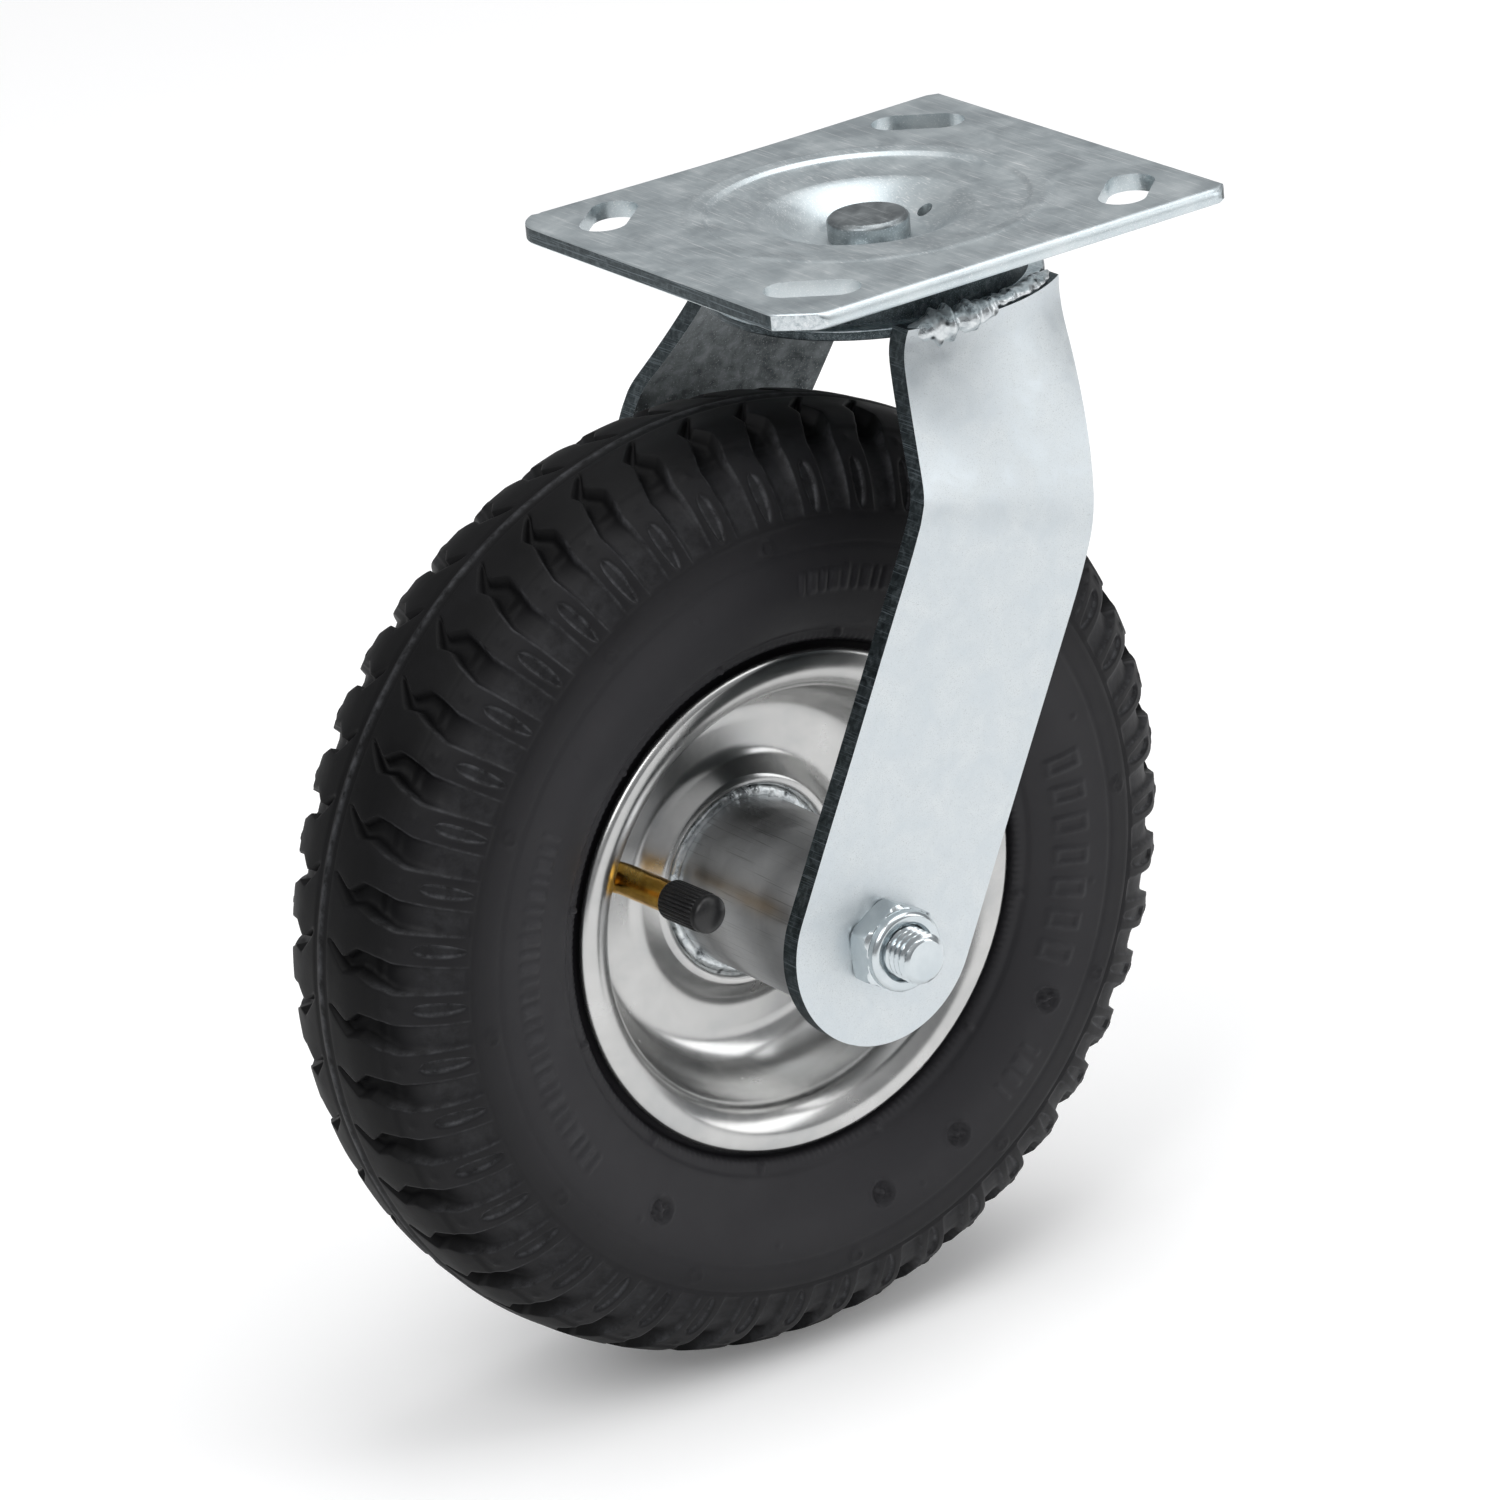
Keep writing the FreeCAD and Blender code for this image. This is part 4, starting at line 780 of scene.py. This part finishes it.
def buildPlate():
    outline = [(x, hollowY(x, y)) for x, y in plateOutline()]
    count = len(outline)
    normals = []
    for i in range(count):
        a = Vector(outline[i - 1])
        c = Vector(outline[(i + 1) % count])
        b = Vector(outline[i])
        n = ((b - a).normalized() + (c - b).normalized())
        inward = Vector((-n.y, n.x)).normalized()
        bend = max(0.75, inward.dot(Vector((-(b - a).y, (b - a).x)).normalized()))
        normals.append(inward / bend)
    long = [abs(n.y) > 0.9 for n in normals]
    rounding = [plate["millRound"] if flat else plate["shearRound"] for flat in long]

    def dishRow(r, z):
        return [(r * x / math.hypot(x, y), r * y / math.hypot(x, y), z) for x, y in outline]

    def edgeRow(k, onTop):
        # rounds the outer edge in six steps; one more row stands 1 mm inside it
        row = []
        for (x, y), n, rho in zip(outline, normals, rounding):
            a = math.radians(90 * max(k, 0) / 6)
            d = rho * (1 - math.sin(a)) + (1.0 if k < 0 else 0.0)
            drop = rho * (1 - math.cos(a))
            row.append((x + n.x * d, y + n.y * d, -drop if onTop else drop - plate["thick"]))
        return row

    rows = [dishRow(r, z) for r, z in plate["dishTop"]]
    last = rows[-1]
    for k in (0.12, 0.3, 0.5, 0.72, 0.9):   # from the round dish out to the straight edges
        row = []
        for (x, y), n, rho, start in zip(outline, normals, rounding, last):
            edge = (x + n.x * (rho + 1.2), y + n.y * (rho + 1.2))
            row.append((start[0] * (1 - k) + edge[0] * k, start[1] * (1 - k) + edge[1] * k, 0.0))
        rows.append(row)
    rows += [edgeRow(k, True) for k in range(-1, 7)] + [edgeRow(k, False) for k in range(6, -2, -1)]
    track = [(ballTrack["radius"] + ballTrack["round"] * math.cos(a),
              ballTrack["height"] + ballTrack["round"] * math.sin(a))
             for a in [math.radians(58 + 8 * k) for k in range(9)]]
    rows += [dishRow(r, z) for r, z in plate["rimUnder"] + track + plate["dishUnder"]]
    points = [p for row in rows for p in row]
    piece = buildMesh("mounting_plate", points, gridFaces(len(rows), count, True, True))
    fixNormals(piece)
    return piece


def slotCutter():
    points = []
    faces = []

    def addPrism(ring, bottom):
        first = len(points)
        count = len(ring)
        points.extend([(x, y, 3.0) for x, y in ring] + [(x, y, bottom) for x, y in ring])
        faces.extend([tuple(first + i for i in face) for face in gridFaces(2, count)])
        faces.extend([tuple(first + i for i in range(count)),
                      tuple(first + count + i for i in range(count))])

    for sideX in (-1, 1):
        for sideY in (-1, 1):
            turn = math.radians(-plate["slotTurn"] * sideX * sideY)
            reach = (plate["slotLength"] - plate["slotWidth"]) / 2
            radius = plate["slotWidth"] / 2
            ring = []
            for k in range(40):
                a = 2 * math.pi * (k + 0.5) / 40
                u = radius * math.cos(a) + (reach if math.cos(a) > 0 else -reach)
                v = radius * math.sin(a)
                ring.append((plate["slotX"] * sideX + u * math.cos(turn) - v * math.sin(turn),
                             plate["slotY"] * sideY + u * math.sin(turn) + v * math.cos(turn)))
            addPrism(ring, -9.0)
    greaseX, greaseY, radius = plate["grease"]
    addPrism([(greaseX + radius * math.cos(a), greaseY + radius * math.sin(a))
              for a in [2 * math.pi * k / 24 for k in range(24)]], -14.0)
    cutter = buildMesh("cutter", points, faces)
    fixNormals(cutter)
    return cutter


platePiece = buildPlate()
addMaterials(platePiece, zincPlate, shearedEdge, wornEdge)
cutWith(platePiece, slotCutter())
for face in platePiece.data.polygons:
    upright = abs(face.normal.z) < 0.3
    slotGap = math.hypot(abs(face.center.x) - plate["slotX"] * mm,
                         abs(face.center.y) - plate["slotY"] * mm)
    inner = math.hypot(face.center.x, face.center.y) < 45 * mm or slotGap < 12 * mm
    longEdge = abs(face.normal.y) > 0.9 and abs(face.center.y) > (plate["halfWidth"] - 2.5) * mm
    cutCorner = face.normal.x < -0.4 and face.normal.y < -0.4
    face.material_index = (2 if cutCorner else 1) if upright and not inner and not longEdge else 0
crispEdges(platePiece, 0.3, 48)
finishPiece(platePiece, "plate", "zinc_plate", "top_plate")

# head, shank and peened end: radius, height, rounding
pin = {"line": [(0, -2.55), (8.6, -2.6, 0.4), (9.55, -3.5, 0.5), (9.45, -7.8, 0.2),
                (6.0, -7.8, 0.2), (6.0, -24.4, 0.2), (9.2, -24.4, 0.4), (8.6, -26.3, 0.6),
                (6.4, -27.4, 0.6), (0, -27.4)]}
pinPiece = turnedPiece("king_rivet", softCorners(pin["line"], 0.3, 4), onSwivel, 96, False)
addMaterials(pinPiece, pinSteel)
finishPiece(pinPiece, "plate", "rivet_steel", "kingpin")
print("plate and pin made")


leg = {"face": 58.4, "thick": 5.0, "width": 49.0, "topRadius": 44.02, "top": -16.5, "bend": -50.0,
       "heel": -66.1, "topLeft": -19.3, "topRight": 26.3, "lowLeft": -31.4, "lowRight": 15.4,
       "ease": 0.13, "softLeft": 17.0, "softRight": 22.0}

legWeld = {"radius": 41.2, "height": -15.8, "half": 2.3, "high": 1.6, "steps": 110, "lumps": 0.24,
           "blobLength": 0.48, "blobOut": 0.7, "blobDown": 2.0, "blobHalf": 2.5, "blobHigh": 2.9}

crown = {
    # pressed disc from the pin to the ball track, then the brim and back: radius, height, rounding
    "disc": [(7.5, -13.2), (18.0, -13.2, 2), (25.0, -10.0, 2)],
    "brim": [(33.8, -10.0, 0.6), (35.2, -11.4, 0.6), (35.2, -17.2, 0.5), (39.0, -17.2, 0.6),
             (39.0, -19.6, 0.6), (32.6, -19.6, 0.6), (31.4, -18.4, 0.6), (31.4, -13.6, 1),
             (26.6, -13.6, 1), (19.4, -16.8, 1), (7.5, -16.8)],
    "wallFrom": 34.9, "brimFrom": 35.4, "brimTop": -17.6,
}
crownTrack = [(ballTrack["radius"] - ballTrack["round"] * math.cos(a),
               ballTrack["height"] - ballTrack["round"] * math.sin(a))
              for a in [math.radians(52 + 8 * k) for k in range(10)]]
crownLine = softCorners(crown["disc"] + crownTrack + crown["brim"], 0.25, 3)
crownPiece = turnedPiece("fork_dome", crownLine)
addMaterials(crownPiece, zincPlate, shearedEdge, wornEdge)
# faces from the crown's outer wall outwards take the dark sheared finish as painted shade under the
# plate, the brim's side and underside included; the top of the brim takes the bright rubbed finish
# as painted light
for face in crownPiece.data.polygons:
    reach = math.hypot(face.center.x, face.center.y)
    if reach > crown["wallFrom"] * mm:
        onBrim = reach > crown["brimFrom"] * mm and face.center.z > crown["brimTop"] * mm
        face.material_index = 2 if onBrim else 1
finishPiece(crownPiece, "fork", "zinc_plate", "fork_crown")


def touchAngle(start, side):
    # where a straight edge from the bend meets the rounded end
    gap = Vector(start) - Vector((axleX, axleZ))
    return math.atan2(gap.y, gap.x) + side * math.acos(leg["width"] / 2 / gap.length)


def splay(t):
    # 0 at the crown, 1 on the flat blade, with a soft start and a soft stop
    a = leg["ease"]
    if t < a:
        return max(0.0, t + a) ** 2 / (4 * a)
    return t - max(0.0, min(t, 1 + a) - 1 + a) ** 2 / (4 * a) if t < 1 + a else 1.0


def legRows():
    # pairs of left and right edge points (x, z) from the top down to the rounded end,
    # with a bend that dips to the heel
    leftAngle = touchAngle((leg["lowLeft"], leg["bend"]), 1)
    rightAngle = touchAngle((leg["lowRight"], leg["heel"]), -1)
    radius = leg["width"] / 2
    touches = [(axleX + radius * math.cos(a), axleZ + radius * math.sin(a))
               for a in (leftAngle, rightAngle)]
    leftLine = softCorners([(leg["topLeft"], leg["top"]), (leg["lowLeft"], leg["bend"]),
                            touches[0]], leg["softLeft"], 10)
    rightLine = softCorners([(leg["topRight"], leg["top"]), (leg["lowRight"], leg["heel"]),
                             touches[1]], leg["softRight"], 10)

    def spot(line, z):
        return (float(np.interp(-z, [-p[1] for p in line], [p[0] for p in line])), z)

    rows = []
    for k in range(23):
        t = k / 22
        rows.append((spot(leftLine, leg["top"] + (leg["bend"] - leg["top"]) * t),
                     spot(rightLine, leg["top"] + (leg["heel"] - leg["top"]) * t),
                     splay((t - 0.12) / 0.88)))
    for k in range(1, 45):
        t = k / 44
        zLeft = leg["bend"] + (touches[0][1] - leg["bend"]) * t
        zRight = leg["heel"] + (touches[1][1] - leg["heel"]) * t
        rows.append((spot(leftLine, zLeft), spot(rightLine, zRight),
                     splay(1 + (leg["bend"] - zLeft) / (leg["top"] - leg["bend"]))))
    middle = (leftAngle + rightAngle + 2 * math.pi) / 2
    for k in range(1, 25):
        t = k / 25
        ends = []
        for angle in (leftAngle, rightAngle + 2 * math.pi):
            a = angle * (1 - t) + middle * t
            ends.append((axleX + radius * math.cos(a), axleZ + radius * math.sin(a)))
        rows.append((ends[0], ends[1], 1.0))
    return rows


def buildLeg(name, side):
    across = 22
    rows = legRows()
    outer = []
    inner = []
    for left, right, f in rows:
        face = leg["topRadius"] * (1 - f) + leg["face"] * f
        radius = leg["topRadius"] / max(0.011, (1 - f) ** 1.3)
        thick = leg["thick"] * (1 + 0.1 * math.sin(math.pi * f))
        for k in range(across + 1):
            u = k / across
            x = left[0] * (1 - u) + right[0] * u
            z = left[1] * (1 - u) + right[1] * u
            flat = f > 0.999
            bow = 0.0 if flat else radius - math.sqrt(radius ** 2 - x ** 2)
            bowIn = 0.0 if flat else radius - thick - math.sqrt((radius - thick) ** 2 - x ** 2)
            dent = 0.10 * noise.noise(Vector((x * 0.035, z * 0.035, side * 5.0)))
            outer.append((x, side * (face - bow + dent), z))
            inner.append((x, side * (face - thick - bowIn + dent), z))
    width = across + 1
    count = len(outer)
    faces = gridFaces(len(rows), width, False)
    innerFaces = gridFaces(len(rows), width, False, False, True)
    faces += [tuple(i + count for i in face) for face in innerFaces]
    loop = [k for k in range(width)] + [(i + 1) * width - 1 for i in range(1, len(rows))]
    loop += [(len(rows) - 1) * width + k for k in range(width - 2, -1, -1)]
    loop += [i * width for i in range(len(rows) - 2, 0, -1)]
    sideFaces = [(a, b, b + count, a + count) for a, b in zip(loop, loop[1:] + loop[:1])]
    piece = buildMesh(name, outer + inner, faces + sideFaces)
    addMaterials(piece, zincLeg, shearedEdge, wornEdge, zincInner)
    # the inner faces take the dark copy of the plating: painted shade under the plate
    for polygon in piece.data.polygons[len(faces) // 2:len(faces)]:
        polygon.material_index = 3
    for polygon in piece.data.polygons[len(faces):]:
        polygon.material_index = 1
    fixNormals(piece)
    crispEdges(piece, 0.55, 50, 2)
    return piece


def blob(t):
    # the run starts as a thick lump and thins out along the brim
    return max(0.0, 1 - t / legWeld["blobLength"]) ** 0.5


for side, name in ((1, "far"), (-1, "near")):
    piece = buildLeg("leg_bar_" + name, side)
    finishPiece(piece, "fork", "zinc_plate", "fork_leg_" + name)
    left, right = [math.atan2(side * math.sqrt(leg["topRadius"] ** 2 - x ** 2), x)
                   for x in (leg["topLeft"], leg["topRight"])]
    bead = lumpyBead("leg_bead_" + name,
                     lambda t: (legWeld["radius"] + legWeld["blobOut"] * blob(t),
                                legWeld["height"] - legWeld["blobDown"] * blob(t)),
                     lambda t: (legWeld["half"] + legWeld["blobHalf"] * blob(t),
                                legWeld["high"] + legWeld["blobHigh"] * blob(t)),
                     (left, right), onSwivel, legWeld["steps"], 9.1 + side, False, legWeld["lumps"])
    addMaterials(bead, weldMetal)
    finishPiece(bead, "fork", "weld_metal", "weld_" + name)
print("fork made")


axle = {"radius": 5.98, "pitch": 1.75, "threadDeep": 1.05, "tip": -74.1, "threadTo": -57.0,
        "seat": 58.4, "flats": 19.0, "nutHeight": 9.0, "headFrom": 60.9, "headHeight": 7.5,
        "turn": 30.0, "uncut": 99.0, "tipRadius": 4.95}


def hexRadius(angle, limit):
    # six flats, their corners turned down to the limit
    local = (angle - math.radians(axle["turn"])) % (math.pi / 3) - math.pi / 6
    return min(axle["flats"] / 2 / math.cos(local), limit)


def threadRadius(angle, along):
    phase = (along / axle["pitch"] - angle / (2 * math.pi)) % 1.0
    tooth = min(1.0, max(0.0, (abs(phase - 0.5) * 2 - 0.12) / 0.76))
    return axle["radius"] - axle["threadDeep"] * tooth


def buildBolt():
    profile = [(0, axle["tip"]), (2.5, axle["tip"] - 0.02), (4.6, axle["tip"] + 0.05),
               (axle["tipRadius"], axle["tip"] + 0.25)]
    along = axle["tip"] + 0.4
    while along < axle["threadTo"]:
        limit = axle["tipRadius"] + (along - axle["tip"] - 0.25)
        profile.append((lambda a, y=along, top=limit: min(threadRadius(a, y), top), along))
        along += axle["pitch"] / 10
    profile += [(axle["radius"], axle["threadTo"]), (axle["radius"], axle["headFrom"])]
    high = axle["headFrom"] + axle["headHeight"]
    for y, limit in ((axle["headFrom"], 9.2), (axle["headFrom"] + 0.1, axle["uncut"]),
                     (high - 1.3, axle["uncut"]), (high - 0.7, 10.2), (high, 9.1)):
        profile.append((lambda a, top=limit: hexRadius(a, top), y))
    profile += [(8.8, high), (0, high)]
    return turnedPiece("through_bolt", profile, onAxle, 72, False, 24)


def buildNut():
    seat = -axle["seat"]
    top = seat - axle["nutHeight"]
    profile = [(5.6, seat)]
    for y, limit in ((seat, 9.4), (seat - 0.4, 10.4), (seat - 1.0, axle["uncut"]),
                     (seat - 4.9, axle["uncut"]), (seat - 5.7, 10.5), (seat - 6.3, 9.75)):
        profile.append((lambda a, top=limit: hexRadius(a, top), y))
    profile += softCorners([(9.5, seat - 6.4), (9.45, top + 0.9, 0.4), (8.7, top, 0.5),
                            (7.0, top, 0.3), (5.7, top + 1.1)], 0.3, 4)
    return turnedPiece("lock_nut", profile, onAxle, 96, True, 28)


for piece, name in ((buildBolt(), "axle_bolt"), (buildNut(), "axle_nut")):
    addMaterials(piece, boltZinc)
    finishPiece(piece, "fork", "bolt_zinc", name)
print("bolt and nut made")


valve = {"lean": 5.6, "bendRadius": 4.6, "bendAt": (45.2, 14.4), "foot": 50.3, "reach": 26.0,
         "stem": 3.65, "capRadius": 4.7, "capDome": 4.5, "ribs": 30, "ribDeep": 0.38}
holeAngle = math.radians(rim["holeAngle"])
valveOut = Vector((math.cos(holeAngle), 0, math.sin(holeAngle)))
valveSide = Vector((-valveOut.z, 0, valveOut.x))
leanAngle = math.radians(valve["lean"])
stemDirection = valveOut * -math.sin(leanAngle) + Vector((0, -math.cos(leanAngle), 0))


def valvePoint(reach, along):
    return Vector((axleX, 0, axleZ)) + valveOut * reach + Vector((0, along, 0))


def stemLine():
    cx, cy = valve["bendAt"]
    bend = valve["bendRadius"]
    line = [valvePoint(valve["foot"] - 0.4 * k, -(cy - bend)) for k in range(0, 12)]
    for k in range(13):
        a = (math.pi / 2 - leanAngle) * k / 12
        line.append(valvePoint(cx - bend * math.sin(a), -(cy - bend * math.cos(a))))
    start = line[-1]
    for k in range(1, 28):
        line.append(start + stemDirection * (valve["reach"] * k / 27))
    return line


def buildStem():
    line = stemLine()
    ring = 40
    points = []
    for i, spot in enumerate(line):
        ahead = line[min(i + 1, len(line) - 1)] - line[max(i - 1, 0)]
        up = ahead.normalized().cross(valveSide)
        worn = 1 + 0.012 * noise.noise(spot * 0.5)
        for k in range(ring):
            a = 2 * math.pi * k / ring
            outward = valveSide * math.cos(a) + up * math.sin(a)
            points.append(tuple(spot + outward * valve["stem"] * worn))
    piece = buildMesh("bent_stem", points, gridFaces(len(line), ring) + [tuple(range(ring)),
                      tuple(range(len(points) - ring, len(points)))])
    fixNormals(piece)
    piece.data.set_sharp_from_angle(angle=math.radians(40))
    return piece


def buildCap():
    end = stemLine()[-1]

    def place(r, angle, along):
        across = stemDirection.cross(valveSide)
        outward = valveSide * math.cos(angle) + across * math.sin(angle)
        return tuple(end + stemDirection * along + outward * r)

    def ribbed(angle):
        wave = 0.5 + 0.5 * math.cos(angle * valve["ribs"])
        return valve["capRadius"] - valve["ribDeep"] * wave ** 2

    profile = [(3.7, -10.4), (4.3, -10.4), (4.55, -10.1)]
    profile += [(ribbed, -9.7), (ribbed, -6), (ribbed, -2), (ribbed, 0.6), (4.45, 0.9),
                (valve["capDome"], 1.1), (valve["capDome"], 2.2)]
    profile += [(valve["capDome"] * math.cos(a), 2.2 + 2.0 * math.sin(a))
                for a in [math.radians(12 * k) for k in range(1, 8)]]
    profile.append((0, 4.2))
    return turnedPiece("dust_cap", profile, place, 180, False, 50)


for piece, slot, material, name in ((buildStem(), "brass", brassStem, "valve_stem"),
                                    (buildCap(), "cap_plastic", capPlastic, "valve_cap")):
    addMaterials(piece, material)
    finishPiece(piece, "wheel", slot, name)
print("valve made")


# the pieces that keep their own shape get a finish only
nodeFinish = {"lower_race": raceSteel, "upper_balls": ballSteel, "upper_cage": raceSteel,
              "lower_balls": ballSteel, "lower_cage": raceSteel, "axle_washer": boltZinc,
              "axle_sleeve": raceSteel, "inner_spacer": raceSteel, "inner_tube": tubeRubber,
              "valve_base": tubeRubber, "valve_core": brassStem, "valve_pin": brassStem}
for name in ("far", "near"):
    nodeFinish["outer_spacer_" + name] = boltZinc
    for part in ("outer", "inner", "cage", "shields"):
        nodeFinish["bearing_%s_%s" % (part, name)] = raceSteel
    nodeFinish["bearing_balls_" + name] = ballSteel
for name, material in nodeFinish.items():
    for holder in frame["nodes"][name].material_slots:
        holder.link = "OBJECT"
        holder.material = material
print("kept pieces finished")


stage = {"floor": -0.26105, "floorColour": "#FAFAFA", "floorGlow": 0.14, "size": 6.0,
         "away": (0.552, 0.834), "front": -4.0, "bendFrom": 1.9, "bendRadius": 1.0,
         "aim": (-0.05, 0.0, -0.12), "roomLight": 0.62}

# soft boxes, in metres and watts
lights = {"keyBox": {"place": (-1.5, -0.7, 1.5), "size": (1.3, 1.3), "power": 20},
          "topBox": {"place": (0.5, -0.2, 1.9), "size": (1.8, 1.8), "power": 22},
          "rightBox": {"place": (1.5, -1.3, 0.7), "size": (0.8, 1.5), "power": 9}}


def buildFloor():
    # pale paper sweep: flat under the wheel, then up behind it
    away = Vector((stage["away"][0], stage["away"][1], 0))
    across = Vector((away.y, -away.x, 0))
    bend = stage["bendRadius"]
    line = [(stage["front"], 0.0), (stage["bendFrom"], 0.0)]
    line += [(stage["bendFrom"] + bend * math.sin(a), bend - bend * math.cos(a))
             for a in [math.radians(6 * k) for k in range(1, 7)]]
    points = []
    for reach, high in line:
        for side in (-stage["size"], stage["size"]):
            spot = away * reach + across * side
            points.append((spot.x / mm, spot.y / mm, (stage["floor"] + high) / mm))
    floor = buildMesh("paper_sweep", points, gridFaces(len(line), 2, False))
    # uncoated paper: matt white with a faint tooth
    material, tree, shader, coords = startMaterial("uncoatedPaper", stage["floorColour"], 0.0, 0.85)
    tooth = addNode(tree, "ShaderNodeTexNoise", values={"Scale": 1 / (2.5 * mm), "Detail": 3.0},
                    links={"Vector": coords})
    bump = addNode(tree, "ShaderNodeBump", values={"Strength": 0.04, "Distance": 0.1 * mm},
                   links={"Height": tooth.outputs["Fac"]})
    tree.links.new(bump.outputs["Normal"], shader.inputs["Normal"])
    shader.inputs["Emission Color"].default_value = linear("#FFFFFF")
    shader.inputs["Emission Strength"].default_value = stage["floorGlow"]
    floor.data.materials.append(material)


buildFloor()
for name, light in lights.items():
    data = bpy.data.lights.new(name, "AREA")
    data.shape = "RECTANGLE"
    data.size, data.size_y = light["size"]
    data.energy = light["power"]
    lamp = bpy.data.objects.new(name, data)
    bpy.context.scene.collection.objects.link(lamp)
    lamp.location = light["place"]
    ray = Vector(stage["aim"]) - Vector(light["place"])
    lamp.rotation_euler = ray.to_track_quat("-Z", "Y").to_euler()

world = bpy.data.worlds.new("studio")
bpy.context.scene.world = world
world.use_nodes = True
room = world.node_tree
roomDirection = addNode(room, "ShaderNodeTexCoord").outputs["Generated"]
roomHeight = addNode(room, "ShaderNodeSeparateXYZ", links={"Vector": roomDirection}).outputs["Z"]
roomColour = addNode(room, "ShaderNodeValToRGB", links={"Fac": roomHeight},
                     stops=[(0.0, "#BBBCBE"), (0.35, "#C8C9CB"), (0.9, "#F6F6F7")]).outputs["Color"]
room.links.new(roomColour, room.nodes["Background"].inputs["Color"])
room.nodes["Background"].inputs["Strength"].default_value = stage["roomLight"]
bpy.context.scene.view_settings.view_transform = "Standard"

view = {"azimuth": -33.51, "elevation": 21.71, "roll": -5.57, "distance": 1.8296,
        "target": (-0.04596, 0.0, -0.12002), "lens": 191.6}
azimuth = math.radians(view["azimuth"])
elevation = math.radians(view["elevation"])
back = Vector((math.sin(azimuth) * math.cos(elevation), -math.cos(azimuth) * math.cos(elevation),
               math.sin(elevation)))
cameraData = bpy.data.cameras.new("productCamera")
cameraData.lens = view["lens"]
cameraData.sensor_width = 36.0
cameraData.clip_end = 30.0
camera = bpy.data.objects.new("productCamera", cameraData)
bpy.context.scene.collection.objects.link(camera)
camera.location = Vector(view["target"]) + back * view["distance"]
facing = (-back).to_track_quat("-Z", "Y")
camera.rotation_mode = "QUATERNION"
camera.rotation_quaternion = facing @ Quaternion((0, 0, 1), math.radians(view["roll"]))
bpy.context.scene.camera = camera
print("stage set")
